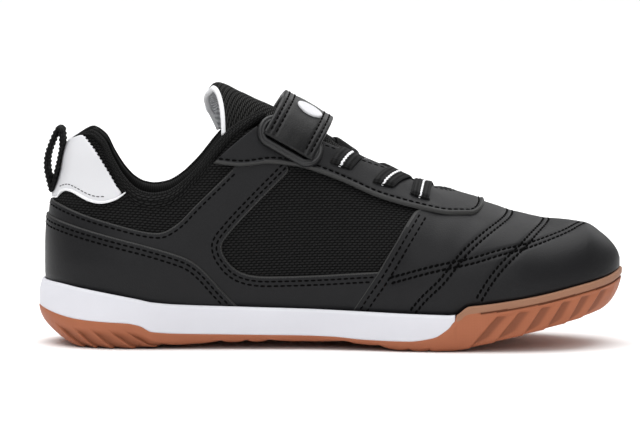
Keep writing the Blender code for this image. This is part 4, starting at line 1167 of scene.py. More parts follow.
# %% Lines traced in the picture
SADDLE_EDGE = [(57, 201), (74.6, 210), (92.5, 217), (119, 225), (142, 231), (158, 233), (167, 231)]
SADDLE_EDGE += [(181, 221.6), (196, 206), (217.6, 185), (233, 169.5)]
COUNTER_EDGE = [(55, 216), (63, 220), (84, 228), (119, 238.5), (142, 244.5), (166, 251), (185, 257)]
COUNTER_EDGE += [(196, 263), (207, 272.5), (223, 290), (240, 307)]
WINDOW = [(290, 171), (264, 197), (240, 222), (230.5, 233), (223.5, 242), (222, 249), (226, 258)]
WINDOW += [(233.6, 267), (243, 272.5), (255, 275.3), (272, 276), (318, 274.7), (376, 271.6)]
SADDLE_ARM_TOP = [(241, 160), (286, 163)]  # hidden under the eyestay
SADDLE_ARM_FRONT = [(384, 271), (358, 309)]  # hidden under the vamp
VAMP_EDGE = [(413, 213), (396, 241.5), (379, 270), (364.5, 291), (350, 312)]
TAB_EDGE = [(86.8, 135.6), (98.7, 152.5), (110, 172), (121, 191), (124.5, 193.6)]
TAB_FOOT = [(124.5, 193.6), (118, 199), (109, 202), (101, 202.7), (91.5, 200.5), (83, 196.5), (75, 192)]
TAB_FOOT += [(68, 190.4), (62.7, 192.4), (59.5, 197)]
TAB_TOP = [(70, 142), (78, 138.6)]
TAB_SEAM = [(62.5, 187.5), (66, 185.8), (71, 185), (77, 187.5), (83, 191), (89, 194.3), (95, 196.5)]
TAB_SEAM += [(101, 197.4), (108, 197)]
LIP_TIP = (127, 193)  # front end of the white lip under the tab
SADDLE_BACK, COUNTER_BACK, TAB_BACK, LIP_BACK = 57.0, 51.6, 57.6, 57.8  # mm up the heel, where edges meet
saddle_line, counter_line, window_line, vamp_line, tab_line, tab_foot = map(
    seen, (SADDLE_EDGE, COUNTER_EDGE, WINDOW, VAMP_EDGE, TAB_EDGE, TAB_FOOT)
)


def back_at(z):
    """The heel's back at height z, as x and z."""
    return np.array([[float(HEEL_BACK.x(z)), z]])


def along_rim(first, last, count):
    """Points just inside the sole's lip."""
    x = np.linspace(first, last, count)
    return np.column_stack([x, SOLE_SIDE.rim(x) - 0.9])


def round_heel(line):
    """A line from the heel's back round one side and home, closed through the same line on the other side."""
    inner, outer = to_pattern(line, -1), to_pattern(line, 1)
    return np.vstack([evenly(inner, 1.0)[:-1], evenly(outer[::-1], 1.0)[:-1]])


saddle_under = counter_line[::-1] + [-2.5, -3.5]
saddle_outline = [
    back_at(SADDLE_BACK),
    curve(saddle_line, 1.5),
    seen(SADDLE_ARM_TOP),
    curve(window_line, 1.2),
    seen(SADDLE_ARM_FRONT),
    along_rim(9.5, -36, 12),
    curve(saddle_under, 2.0)[3:],
    back_at(47.5),
]
panel("saddle", round_heel(np.vstack(saddle_outline)), BLACK, ["saddle_medial", "saddle_lateral"])
counter_outline = [back_at(COUNTER_BACK), curve(counter_line, 1.2), along_rim(-39.5, -108, 24), back_at(24.0)]
panel("counter", round_heel(np.vstack(counter_outline)), BLACK, ["heel_counter"], 0.95, 0.95)


def tab_seat(points):
    """Height of the tab's back over the upper: low at its foot, lifted over the collar roll."""
    return 0.1 + 1.0 * step(points[..., 2], 66, 76)


tab_edges = [curve(tab_line, 1.0), curve(tab_foot, 1.0)[1:]]
tab_outline = np.vstack([back_at(78.4), seen(TAB_TOP), *tab_edges, back_at(TAB_BACK)])
panel("heel_tab_leather", round_heel(tab_outline), WHITE, ["heel_tab"], 1.0, tab_seat)

# %% [markdown]
# ## Vamp and eyestay
# These two panels cross the ridge, where the flat pattern has its edge, so they are laid out by girth
# instead: 0 on the ridge, 1 at the foot. A seam traced on the inner side is carried over the ridge and
# smoothed there.

# %% Eyestay outline and seam lines
EYESTAY = Stations(
    "step outer_x outer_z inner_x",
    [
        (0, -46.4, 72.6, -28.4),
        (1, -35, 71.4, -24.5),
        (2, -25, 72.2, -19),
        (3, -13.6, 71, -11),
        (4, 0, 66.6, 0),
        (5, 20, 58.2, 17),
        (6, 34, 54.2, 31),
        (7, 47, 51.6, 41.5),
        (8, 54, 51.4, 45),
    ],
)
STAY_ENDS = 54.0, 45.0  # the last outer_x and inner_x of the table
NOSE = 60.2  # x of the eyestay's front end
SEAM_LONG = [(583.6, 222), (567, 232), (549, 239), (527, 246.6), (500.6, 252.7), (476, 260), (458, 263.6)]
SEAM_LONG += [(440, 267), (412, 274), (390, 280)]
SEAM_REAR = [(509.7, 213), (505, 220), (492, 229.7), (476, 242), (464, 252.7), (456, 261), (440, 283)]
SEAM_REAR += [(425, 295), (412, 311)]
SEAM_FRONT = [(546.6, 219), (544, 222), (534.5, 233), (525, 243), (512.7, 255), (500.6, 266)]
SEAM_FRONT += [(488.5, 280.6), (477, 299)]
SEAM_HALF = 1.1  # half of the space between the two rows of a seam
SEAM_STEP = 0.8  # mm between the points of a seam's line
SIDE_MM = 60.0  # about the length of one side's girth at the ball


def girth(x, z):
    """Girth at a height, 1 at the lower edge and 0 on the ridge."""
    return 1 - share_at(-upper_q(x), z)


def over_ridge(line):
    """A seam traced on the inner side and carried over the ridge to the outer one, as q and girth."""
    x, z = curve(seen(line), 1.0).T
    low = girth(x, z)
    x, low = np.append(x[0], x[low > 0.1]), np.append(0, low[low > 0.1])
    half = np.column_stack([x, low * SIDE_MM])
    whole = evenly(np.vstack([half[::-1] * [1, -1], half[1:]]), SEAM_STEP)
    for _ in range(40):
        whole[1:-1] = (whole[:-2] + 2 * whole[1:-1] + whole[2:]) / 4
    return upper_q(whole[:, 0]), whole[:, 1] / SIDE_MM


seams = [over_ridge(line) for line in (SEAM_LONG, SEAM_REAR, SEAM_FRONT)]
print("seam lengths in mm:", [round(len(q) * SEAM_STEP) for q, r in seams])


def layer(name, q, r, top, under, edge, wide, stands_for):
    """A leather sheet on a grid of q and girth. Faces nearer to the cut edge than wide are cut leather."""
    base = on_girth(q, r)
    normal = outward(on_girth, q, r)
    points, blocks, edge, face = sheet(base, normal, [grid_faces(*q.shape)], top, under, edge)
    which = cut_faces(blocks, face, edge[:, 0], wide)
    add_piece(name, points, blocks, *BLACK, stands_for, None, which)


# %% [markdown]
# The vamp wraps the toe from one side to the other, so it is a grid: one way goes round the girth, the
# other from its rear edge to the toe. Seams press two soft furrows into it and a few folds cross it. Each
# is a distance to a line, put through a bell curve and taken off the height, which is easier to change than
# sculpting.


# %% Vamp
VAMP_MM = 70.0  # about the vamp's length
HIDDEN_EDGE = [[46.5, 0.2], [52.0, 0.0]]  # x and girth of the vamp's rear edge under the eyestay
FOLDS = (  # two ends in the picture, then depth and half-width in mm
    ((436, 218), (430, 262), 0.35, 4.0),
    ((470, 222), (452, 250), 0.3, 4.5),
    ((398, 252), (386, 292), 0.3, 3.0),
)


def seam_relief(base):
    """Furrows under each row of a seam, the swell between seams, and a few soft folds, in mm."""
    points = base.reshape(-1, 3)
    relief = np.zeros(len(points))
    for q, r in seams:
        far = distance_to(points, on_girth(q, r), False)[0]
        relief -= 0.3 * bell(far - SEAM_HALF, 0.75) + 0.12 * bell(far, 3.5)
    for first, last, depth, wide in FOLDS:
        for side in (-1, 1):
            line = on_pattern(*to_pattern(curve(seen([first, last]), 2.0), side).T)
            far = distance_to(points, line, False)[0]
            relief -= depth * bell(far, wide)
    return relief.reshape(base.shape[:-1])


def plan_length(q):
    """Length along the pattern from the heel to q."""
    return np.interp(np.abs(q), Q_GRID, ROUND) - np.interp(0, Q_GRID, ROUND)


def build_vamp():
    """Girth times the vamp's lowest girth, from the rear edge to the toe."""
    half = np.linspace(0, 1, 106)
    w = np.concatenate([-half[::-1], half[1:]])[:, None]
    first = np.array([0, *RING_STEPS]) / VAMP_MM
    u = np.concatenate([first, np.linspace(2.6 / VAMP_MM, 1, 150)])[None, :]
    x, z = vamp_line.T
    edge = np.vstack([np.column_stack([x, girth(x, z)]), HIDDEN_EDGE])
    edge = edge[np.argsort(edge[:, 0])]
    stations = np.linspace(edge[0, 0], edge[-1, 0], 200)

    def lowest(q):
        x = upper_x(q)
        return 1 - share_at(-np.abs(q), SOLE_SIDE.rim(x) - 0.9)

    share = np.minimum.accumulate(np.interp(stations, *edge.T) / lowest(upper_q(stations)))
    start = upper_q(np.interp(-np.abs(w), -share, stations))
    q = start + (1 - start) * u
    q[:, -1] = 1.0
    r = w * lowest(q)
    base = on_girth(q, r)
    far = (plan_length(q) - plan_length(start)) * 0.85
    held = tucked(base.reshape(-1, 3)).reshape(q.shape)
    relief = seam_relief(base) * step(far, 0.5, 3)
    top = 0.1 + (rolled(far, 1.15, 0.9) + relief) * (0.12 + 0.88 * held)
    layer("vamp_leather", q, r, top, 0.02, far, 1.0, ["vamp"])


build_vamp()


# %% [markdown]
# The eyestay is the horseshoe round the throat and lies on the vamp. It is a grid between two curves, its
# lower edge and the throat's edge. A bead runs along the lower edge, and the leather dips where a lace
# pulls at its slot.


# %% Eyestay
SLOT_X = (2.6, 19.2, 34.4)  # stations of the lace slots


def build_eyestay():
    """From the lower edge, with its bead and furrow, to the throat's edge, along one arm and mirrored."""
    along = np.linspace(0, 8, 150)
    outer_q, inner_q = upper_q(EYESTAY.outer_x(along)), upper_q(EYESTAY.inner_x(along))
    outer_r = girth(EYESTAY.outer_x(along), EYESTAY.outer_z(along))
    inner_r = 1 - share_at(-inner_q, throat_height(-inner_q))
    turn = np.linspace(0, math.pi / 2, 14)[1:]
    outer_end, inner_end = STAY_ENDS
    outer_q = np.append(outer_q, upper_q(NOSE - (NOSE - outer_end) * (1 - np.sin(turn))))
    outer_r = np.append(outer_r, outer_r[-1] * np.cos(turn) ** 0.8)
    inner_q = np.append(inner_q, upper_q(inner_end + (THROAT - inner_end) * np.sin(turn)))
    inner_r = np.append(inner_r, inner_r[-1] * np.cos(turn))
    first, last = [0, 0.008, 0.02, 0.04, 0.065], [0.955, 0.98, 0.992, 1]
    mix = np.concatenate([first, np.linspace(0.09, 0.93, 30), last])[:, None]
    q = outer_q + (inner_q - outer_q) * mix
    r = outer_r + (inner_r - outer_r) * mix
    base = on_girth(q, -r)
    low = np.linalg.norm(base - base[:1], axis=-1)
    high = np.linalg.norm(base - base[-1:], axis=-1)
    back = np.linalg.norm(base - base[:, :1], axis=-1)
    far = np.minimum(np.minimum(low, high), back)
    bead = 0.3 * bell(low - 1.0, 0.6) - 0.22 * bell(low - 2.4, 0.5)
    pulled = sum(bell(base[..., 0] - x, 5) * bell(low - 7, 4) for x in SLOT_X)
    top = 1.25 + rolled(far, 1.0, 0.8) + bead * step(far, 0.05, 0.4) - 0.45 * pulled * step(far, 1, 4)
    rows = []
    for distance, wanted in ((low, 2.5), (high[::-1], 1.8)):
        share = np.array([np.interp(wanted, column, mix[:, 0]) for column in distance.T])
        share = share if distance is low else 1 - share
        at_q, at_r = (a + (b - a) * share for a, b in ((outer_q, inner_q), (outer_r, inner_r)))
        rows.append((np.append(at_q, at_q[-2::-1]), np.append(-at_r, at_r[-2::-1])))
    q = np.concatenate([q, q[:, -2::-1]], 1)
    r = np.concatenate([-r, r[:, -2::-1]], 1)
    top = np.concatenate([top, top[:, -2::-1]], 1)
    strip = np.concatenate([low, low[:, -2::-1]], 1)
    layer("eyestay_leather", q, r, top, 1.15, strip, 1.4, ["eyestay"])
    return rows


stay_rows = build_eyestay()

# %% [markdown]
# ## Cords and tubes
# A piping, a padded roll, a ring and a loop are all one section carried along a path. Blender can bevel a
# curve, but then the section can't swell on its way, so the section's points are placed with arrays.


# %% Cords and tubes
def circle(count):
    """Points of a circle of radius 1."""
    turn = np.arange(count) * 2 * math.pi / count
    return np.column_stack([np.cos(turn), np.sin(turn)])


def end_caps(rows, count):
    """Quads that close both ends of a tube whose section has an even number of points."""
    k = np.arange(count // 2 - 1)
    one = np.stack([k, k + 1, count - 2 - k, count - 1 - k], -1)
    return [one[:, ::-1], one + (rows - 1) * count]


def tube(path, across, up, section, closed=False):
    """A section (rows of two numbers) carried along a path by two directions: points and blocks of faces."""
    points = path[:, None] + section[None, :, :1] * across[:, None] + section[None, :, 1:] * up[:, None]
    rows, count = points.shape[:2]
    i, j = np.meshgrid(np.arange(rows if closed else rows - 1), np.arange(count), indexing="ij")
    here, there, beside_it = i * count, (i + 1) % rows * count, (j + 1) % count
    quads = np.stack([here + j, here + beside_it, there + beside_it, there + j], -1).reshape(-1, 4)
    blocks = [quads] if closed else [quads, *end_caps(rows, count)]
    points = points.reshape(-1, 3)
    corner = points[quads]
    facing = np.cross(corner[:, 1] - corner[:, 0], corner[:, 2] - corner[:, 0])
    away = corner.mean(1) - path.repeat(count, 0)[quads].mean(1)
    return points, blocks if np.sum(facing * away) > 0 else [block[:, ::-1] for block in blocks]


# %% [markdown]
# ## Stitching
# A lockstitch shows as short thread bars with a hole at each end. Each bar is a tiny capsule with pointed
# ends, laid on the leather along a line that runs beside an edge, and copies are made by adding places to
# one set of points.


# %% Stitch rows
THREAD_HIGH = 0.55


def capsules(centre, along, up, length, wide, high):
    """One spindle of five rings per centre, with its long axis on along."""
    side = np.cross(up, along)
    t = np.array([-1, -0.8, 0, 0.8, 1.0])
    fat = np.array([0.25, 0.8, 1, 0.8, 0.25])
    ring = fat[:, None, None] * circle(6) * [wide / 2, high / 2]
    shape = np.column_stack([np.repeat(t, 6) * length / 2, ring.reshape(-1, 2)])
    points = centre[:, None] + np.einsum("vk,nkc->nvc", shape, np.stack([along, side, up], 1))
    k, j = np.meshgrid(np.arange(4), np.arange(6), indexing="ij")
    a, b = k * 6 + j, k * 6 + (j + 1) % 6
    quads = np.stack([a, b, b + 6, a + 6], -1).reshape(-1, 4)
    caps = np.array([[0, 5, 4, 3], [0, 3, 2, 1], [24, 25, 26, 27], [24, 27, 28, 29]])
    one = np.vstack([quads, caps])
    faces = (one[None] + (np.arange(len(centre)) * 30)[:, None, None]).reshape(-1, 4)
    return points.reshape(-1, 3), faces


def sew(name, rows, finish=None, slot="black_leather", pitch=2.6, length=1.85, wide=0.8, turn=0.0):
    """Stitches along rows. A row is a line's points and the way out of the leather at each of them."""
    places, ways, ups = [], [], []
    for line, up in rows:
        run = run_of(line)
        at = np.arange(0.5, int(run[-1] / pitch)) * pitch
        place, out = (np.column_stack([np.interp(at, run, c) for c in table.T]) for table in (line, up))
        way = unit(np.gradient(place, axis=0))
        out = unit(out - way * np.sum(out * way, axis=1, keepdims=True))
        places.append(place)
        ways.append(way * math.cos(turn) + np.cross(out, way) * math.sin(turn))
        ups.append(out)
    points, faces = capsules(*map(np.vstack, (places, ways, ups)), length, wide, THREAD_HIGH)
    add_piece(name, points, [faces], [finish or THREAD], slot)


def stitch_rows(name, rows, lift, **look):
    """Stitches along lines on the flat pattern, lift above the upper or above the tab's seat."""
    made = []
    for line in rows:
        base, up = on_pattern(*line.T), outward(on_pattern, *line.T)
        seat = tab_seat(base)[:, None] if name.startswith("tab") else 0.0
        made.append((base + up * (seat + lift), up))
    sew(name, made, **look)


def beside_girth(q, r, distance, lift):
    """A row at a distance beside a line of girths, lift above the upper."""
    line = on_girth(q, r)
    up = outward(on_girth, q, r)
    side = unit(np.cross(up, np.gradient(line, axis=0)))
    return line + side * distance + up * lift, up


def beside(line, distance, side):
    """A line traced on the inner side, moved by distance on the pattern, and put on one side of the shoe."""
    return offset(to_pattern(curve(line, 1.0), side), distance * -side)


def both(line, *distances):
    """Rows at distances beside a line, on both sides of the shoe."""
    return [beside(line, d, side) for d in distances or (0.0,) for side in (-1, 1)]


saddle_row = np.vstack([back_at(SADDLE_BACK), saddle_line])
counter_row = np.vstack([back_at(COUNTER_BACK), counter_line])
stitch_rows("saddle_stitching", both(saddle_row, 1.9) + both(window_line, 1.9, 3.7), 1.12)
stitch_rows("counter_stitching", both(counter_row, 2.0, 3.9), 2.0)
stitch_rows("vamp_stitching", both(vamp_line, -2.6, -5.2), 1.2)
sew("eyestay_stitching", [beside_girth(q, r, 0.0, 2.15) for q, r in stay_rows])
stitch_rows("tab_overlock", both(tab_line[:-1], -0.1), 0.6, pitch=1.85, length=1.2, wide=1.0, turn=1.2)
tab_look = {"finish": GREY_THREAD, "slot": "white_leather", "pitch": 1.9, "length": 1.3, "wide": 0.42}
stitch_rows("tab_stitching", both(seen(TAB_SEAM)), 1.08, **tab_look)
seam_rows = [beside_girth(q, r, d, 0.92) for q, r in seams for d in (-SEAM_HALF, SEAM_HALF)]
sew("seam_stitching", seam_rows, pitch=2.3, wide=1.0, turn=0.22)


def piping(name, line, lift, radius, finish, slot):
    """A thin cord along a line traced on the inner side, on both sides of the shoe."""
    all_points, all_faces = [], []
    for side in (-1, 1):
        places = to_pattern(curve(line, 0.5), side)
        base = on_pattern(*places.T)
        normal = outward(on_pattern, *places.T)
        across = np.cross(normal, unit(np.gradient(base, axis=0)))
        thin = (radius * np.sqrt(np.sin(np.linspace(0.15, math.pi - 0.15, len(base)))))[:, None]
        points, blocks = tube(base + normal * lift, across * thin, normal * thin, circle(8))
        all_faces += [block + count_of(all_points) for block in blocks]
        all_points.append(points)
    add_piece(name, np.vstack(all_points), all_faces, [finish], slot)


lip_line = np.vstack([seen([LIP_TIP] + TAB_FOOT[1:]), back_at(LIP_BACK)])
piping("tab_lip", lip_line, 0.95, 0.62, WHITE_THREAD, "white_leather")

# %% [markdown]
# ## Collar and tongue
# Both are foam inside fabric. The collar is a roll round the ankle whose section swells and settles a
# little along its length, as stuffed fabric does. A cloth simulation could press it into shape, but it
# would also crease the fine knit, so a formula does it.


# %% Collar roll
COLLAR_FRONT = -27.0
ROLL_HALF = 2.75  # half of the roll's thickness
CORD_RADIUS = 0.8


def build_collar(columns=420, around=32):
    """A soft oval carried along the collar's edge."""
    front = float(upper_q(COLLAR_FRONT))
    q = np.linspace(-front, front, columns)
    x = upper_x(q)
    edge = upper_at(q, COLLAR.edge(x))
    normal = outward(upper_at, q, COLLAR.edge(x))
    along = unit(np.gradient(edge, axis=0))
    up = np.cross(normal, along)
    up = np.where(up[:, 2:] < 0, -up, up)
    run = run_of(edge)
    swell = 1 + 0.035 * np.sin(run / 4.1) + 0.03 * np.sin(run / 9.7 + 1)
    tall = (COLLAR.height(x) * up[:, 2] * 0.5)[:, None]
    path = edge - up * tall - normal * 1.9
    turn = np.arange(around) * 2 * math.pi / around
    flat_side = np.sign(np.cos(turn)) * np.abs(np.cos(turn)) ** 0.8
    section = np.column_stack([flat_side, np.sin(turn)])
    points, blocks = tube(path, normal * ROLL_HALF * swell[:, None], up * tall, section)
    girth_mm = np.cumsum(np.linalg.norm(np.diff(section, axis=0, append=section[:1]), axis=1)) * 3
    flat = pattern(run[:, None], girth_mm)
    angle = np.degrees(turn + math.pi / around)
    inside = np.tile((angle > 78) & (angle < 250), columns - 1)
    which = np.append(inside, np.zeros(count_of(blocks[1:])))
    made = add_piece("collar_roll", points, blocks, [KNIT, LINING], "black_knit", ["collar"], flat, which)
    top = path + up * tall * 0.92 + normal * ROLL_HALF * 0.42
    small = turn[::4]
    points, blocks = tube(top, normal * CORD_RADIUS, up * CORD_RADIUS, circle(len(small)))
    add_piece("collar_cord", points, blocks, [COLLAR_RIB], "black_knit", [], pattern(run[:, None], small))


build_collar()

# %% [markdown]
# The tongue is an arched sheet from a table of stations, thick in the middle and drawn together at the rim.
# Its knit face ends short of the white lining, which rolls out behind it as a soft cord.


# %% Tongue
TONGUE = Stations(
    "x ridge half drop thick",
    [
        (-51, 97.6, 17.6, 21, 5),
        (-48, 100.6, 17, 20, 5),
        (-46.2, 102.4, 16.6, 19.6, 5),
        (-44.4, 102.9, 16.2, 19.2, 5),
        (-42, 102.2, 15.8, 18.6, 5),
        (-35, 98.8, 13.8, 16, 4.8),
        (-30, 96.6, 12.8, 14, 4.6),
        (-15, 89.4, 12.4, 10.5, 4),
        (0, 80.8, 12.8, 8.5, 3.6),
        (20, 67.6, 12.4, 6.5, 3.2),
        (38, 57.6, 10.5, 4, 3),
        (46, 55.6, 9, 2.6, 2.6),
        (52, 54.3, 8, 2.2, 2.4),
    ],
)


TONGUE_MM = 18.0, 116.82  # half of its width and its length, as lengths of fabric


def tongue_at(a, b):
    """Tongue's face: a from 0 at the toe end to 1 at the top, b from -1 to 1 across. The top edge bows."""
    x = 52 - 100 * a - 3.1 * a**4 * np.sin(2.73 * b) + 5.6 * a**6 * np.abs(b) ** 1.6
    sag = 1.4 * bell(x - 10, 10) - 2.0 * bell(x + 10, 7) * (1 - np.abs(b) ** 2)
    z = TONGUE.ridge(x) - TONGUE.drop(x) * np.abs(b) ** 2.2 - sag
    return np.stack(np.broadcast_arrays(x, TONGUE.half(x) * b, z), -1)


def build_tongue():
    """Face and back are the same grid, drawn together at the rim so that the padding ends round."""
    a = np.concatenate([np.linspace(0, 0.97, 120), [0.98, 0.988, 0.995, 1.0]])[:, None]
    b = np.sin(np.linspace(-1, 1, 61) * math.pi / 2)[None, :]
    base = tongue_at(a, b)
    normal = unit(np.cross(np.gradient(base, axis=1), np.gradient(base, axis=0)))
    normal *= np.where(normal[..., 2:] < 0, -1, 1)
    rim = np.minimum(1 - np.abs(b) ** 8, 1 - np.clip((a - 0.955) / 0.045, 0, 1) ** 2.5)
    round_rim = np.sqrt(np.clip(rim, 0, 1))
    thick = TONGUE.thick(base[..., 0])
    puff = 0.12 * np.sin(a * 60 + 2 * b) * np.sin(a * 23 + 1.3 + b * 3) * step(a, 0.2, 0.5)
    top = puff - 0.5 + 0.5 * round_rim
    back = -0.7 - (thick - 0.7) * (0.25 + 0.75 * round_rim)
    flat = pattern(TONGUE_MM[0] * b, TONGUE_MM[1] * a)
    points, blocks, flat, face = sheet(base, normal, [grid_faces(*base.shape[:2])], top, back, flat)
    which = np.arange(count_of(blocks)) >= count_of(face)
    finishes = [TONGUE_KNIT, WHITE_LINING]
    made = add_piece("tongue_pad", points, blocks, finishes, "black_knit", ["tongue"], flat, which)
    bind_tongue(normal[-1])


def bind_tongue(normal):
    """A soft white cord along the tongue's top edge, behind it. Takes the face's normals at that edge."""
    edge_b = np.linspace(-1, 1, 90)
    edge = tongue_at(np.ones(90), edge_b)
    along = unit(np.gradient(edge, axis=0))
    up = normal[((edge_b + 1) / 2 * (len(normal) - 1)).astype(int)]
    out = unit(np.cross(up, along))
    out = np.where(out[:, :1] > 0, -out, out)
    up = unit(np.cross(along, out))
    up = np.where(up[:, 2:] < 0, -up, up)
    points, blocks = tube(edge + out * 0.2 - up * 1.5, out * 1.2, up * 1.15, circle(16))
    made = add_piece("tongue_binding", points, blocks, [WHITE_THREAD], "black_knit")


build_tongue()

# %% [markdown]
# ## Strap and keeper
# The strap is one leather band over the instep, lined underneath. Its near end goes down into a moulded
# half ring on the eyestay. Its arch is a table of heights in a tilted plane, and every layer, stitch row
# and the blank oval patch are laid on that same arch.

# %% Strap
STRAP_ARCH = Stations(
    "y height",
    [
        (-25.5, 60.4),
        (-23.5, 63.6),
        (-20, 68.2),
        (-15, 72.6),
        (-8, 76.2),
        (0, 77.6),
        (8, 76.8),
        (15, 75),
        (21, 71.2),
        (26, 66.4),
        (30, 61),
        (33.5, 54.8),
    ],
)
STRAP_ALONG = np.array([0.866, 0.0, -0.5])  # across the strap's width, towards the toe
STRAP_UP = np.array([0.5, 0.0, 0.866])
STRAP_MIDDLE = -54.2  # place of the strap's centre line along STRAP_ALONG
STRAP_HALF = 11.0
STRAP_ENDS = -25.2, 33.0  # y of the near end, inside the ring, and of the far end
STRAP_ROUND = 3.4  # length and radius of the far end's corners
STRAP_SEAMS = 2.0, 4.3  # mm from the edge to each row
LINING_ENDS, LINING_HALF = (-21.0, 27.0), 9.6
PATCH = (-8.5, 3.7), (0.8, 5.4)  # middle and half of its size, along y and across the strap


def strap_point(y, across, lift=0.0):
    """Point of the strap's top face, or lift above it."""
    y, across, lift = np.broadcast_arrays(*(np.asarray(value, float) for value in (y, across, lift)))
    slope = (STRAP_ARCH.height(y + 0.05) - STRAP_ARCH.height(y - 0.05)) / 0.1
    size = np.sqrt(1 + slope**2)
    up = STRAP_ARCH.height(y) + lift / size
    side = y - lift * slope / size
    flat = (across + STRAP_MIDDLE)[..., None] * STRAP_ALONG + up[..., None] * STRAP_UP
    return flat + side[..., None] * np.array([0.0, 1.0, 0.0])


def strap_way(y, across):
    """The way out of the strap's top face."""
    return strap_point(y, across, 1.0) - strap_point(y, across)


def build_lining():
    """Soft lining under the strap: a thin sheet inside its edges, with a rolled rim."""
    first, last = LINING_ENDS
    y, across = np.linspace(first, last, 60)[:, None], np.linspace(-1, 1, 24)[None, :] * LINING_HALF
    rim = np.minimum(LINING_HALF - np.abs(across), np.minimum(y - first, last - y))
    faces = [grid_faces(*rim.shape)]
    back = -2.4 - rolled(rim, 2.2, 1.6)
    points, blocks = sheet(strap_point(y, across), strap_way(y, across), faces, -2.25, back)[:2]
    add_piece("strap_lining", points, blocks, [FELT], "black_leather")


def build_strap():
    """Arch table along, straight across, with rolled long edges and a soft swell between the seams."""
    near, far_end = STRAP_ENDS
    square = far_end - STRAP_ROUND
    turn = np.linspace(0, math.pi / 2, 14)[1:]
    y = np.append(np.linspace(near, square, 104), far_end - STRAP_ROUND * (1 - np.sin(turn)))[:, None]
    first, last = [0, 0.12, 0.35, 0.7, 1.1], [20.9, 21.3, 21.65, 21.88, 22]
    across = np.concatenate([first, np.linspace(1.6, 20.4, 34), last])[None, :]
    far = np.minimum(np.minimum(across, 2 * STRAP_HALF - across), far_end - y)
    end = np.clip((y - square) / STRAP_ROUND, 0, 1)
    narrow = 1 - STRAP_ROUND * (1 - np.sqrt(1 - end**2)) / STRAP_HALF
    across = (across - STRAP_HALF) * narrow
    seam = -0.2 * sum(bell(far - place, 0.5) for place in STRAP_SEAMS)
    swell = 0.25 * step(far, 4.5, 9) * np.cos(y / 9) ** 2
    top = -1.0 + rolled(far, 1.0, 0.8) + seam + swell
    back = -1.4 - rolled(far, 0.9, 0.8)
    faces = [grid_faces(*top.shape)]
    points, blocks = sheet(strap_point(y, across), strap_way(y, across), faces, top, back)[:2]
    add_piece("strap_leather", points, blocks, [STRAP_SHADED_LEATHER], "black_leather", ["strap"])


def sew_strap():
    """Two rows beside each long edge and two across the rounded end."""
    even = np.linspace(0, 1, 200)
    rows = [(-24 + 54 * even, np.full(200, line)) for line in (-9.0, -6.7, 6.7, 9.0)]
    rows += [(np.full(200, line), -8.4 + 16.8 * even) for line in (30.6, 28.0)]
    sew("strap_stitching", [(strap_point(*row, -0.08), strap_way(*row)) for row in rows])


def build_patch():
    """A blank oval on rings round its middle, with a rounded rim."""
    turn = np.linspace(0, 2 * math.pi, 73)[None, :]
    ring = np.concatenate([np.linspace(0, 0.88, 9), [0.93, 0.97, 0.99, 1]])[:, None]
    (middle_y, half_y), (middle, half) = PATCH
    y, across = middle_y + half_y * ring * np.sin(turn), middle + half * ring * np.cos(turn)
    top = 0.45 + 0.5 * np.sqrt(np.clip(1 - np.clip((ring - 0.88) / 0.12, 0, 1) ** 2, 0, 1)) + 0 * turn
    faces = [grid_faces(*y.shape)]
    points, blocks = sheet(strap_point(y, across), strap_way(y, across), faces, top, -0.3)[:2]
    add_piece("blank_patch", points, blocks, [WHITE_LEATHER], "white_leather", ["strap_patch"])


build_lining()
build_strap()
sew_strap()
build_patch()


# %% [markdown]
# The keeper is a moulded ring with a shallow groove, cut off flat where the strap goes in. A U drawn in the
# strap's own two directions is laid on the upper, so the ring follows the leather under it.


# %% Keeper
KEEPER_HALF, KEEPER_CORNER = 12.2, 4.4  # half of the U's width, radius of its corners


def build_keeper():
    """A ring section with a groove between two ridges, carried round a U on the eyestay."""
    corner = np.linspace(0, math.pi / 2, 16)
    rise, rounding = np.linspace(1, 0, 8), KEEPER_CORNER * (1 - np.cos(corner))
    up_left = np.column_stack([3.4 * rise**2 - KEEPER_HALF, 61.4 + 4.2 * rise])
    left = np.column_stack([rounding - KEEPER_HALF, 61.0 - KEEPER_CORNER * np.sin(corner)])
    middle = np.column_stack([np.linspace(-7.4, 7.4, 16), np.full(16, 61.0 - KEEPER_CORNER)])
    u_line = evenly(np.vstack([up_left, left, middle, left[::-1] * [-1, 1], up_left[::-1] * [-1, 1]]), 0.6)
    seat = (u_line[:, :1] + STRAP_MIDDLE) * STRAP_ALONG + u_line[:, 1:] * STRAP_UP
    q = -upper_q(seat[:, 0])
    base = upper_at(q, seat[:, 2])
    normal = outward(upper_at, q, seat[:, 2])
    along = unit(np.gradient(base, axis=0))
    flat = np.cross(normal, along)
    turn = np.arange(24) * 2 * math.pi / 24
    dent = 1 - 0.3 * bell(turn - math.pi / 2, 0.3)
    points, blocks = tube(base + normal * 3.3, flat * 1.65, normal * 1.5, circle(24) * dent[:, None])
    add_piece("keeper_ring", points, blocks, [MOULDED], "black_plastic", ["strap_keeper"])


build_keeper()

# %% [markdown]
# ## Laces
# Flat elastic laces come out of punched slots in the near eyestay and cross over the tongue. A lace could
# be a curve with a flat bevel, but it would twist. A grid that takes its height from the upper lies flat by
# itself.


# %% Laces
def lace_height(x, y):
    """Height that a lace follows: the upper's own at both sides, and a low arch between them."""
    half = np.maximum(THROAT_HALF.half(x), 1)
    heights = []
    for side, reach in ((-1, LAST.medial(x)), (1, LAST.lateral(x))):
        over = np.maximum(1 - (np.maximum(np.abs(y), half) / reach) ** LAST.m(x), 0) ** (1 / LAST.n(x))
        heights.append(LAST.wide(x) + (ridge_at(side * upper_q(x)) - LAST.wide(x)) * over)
    mix = step(y / half, -1, 1)
    return heights[0] * (1 - mix) + heights[1] * mix + 0.8 * np.maximum(0, 1 - (y / half) ** 2)


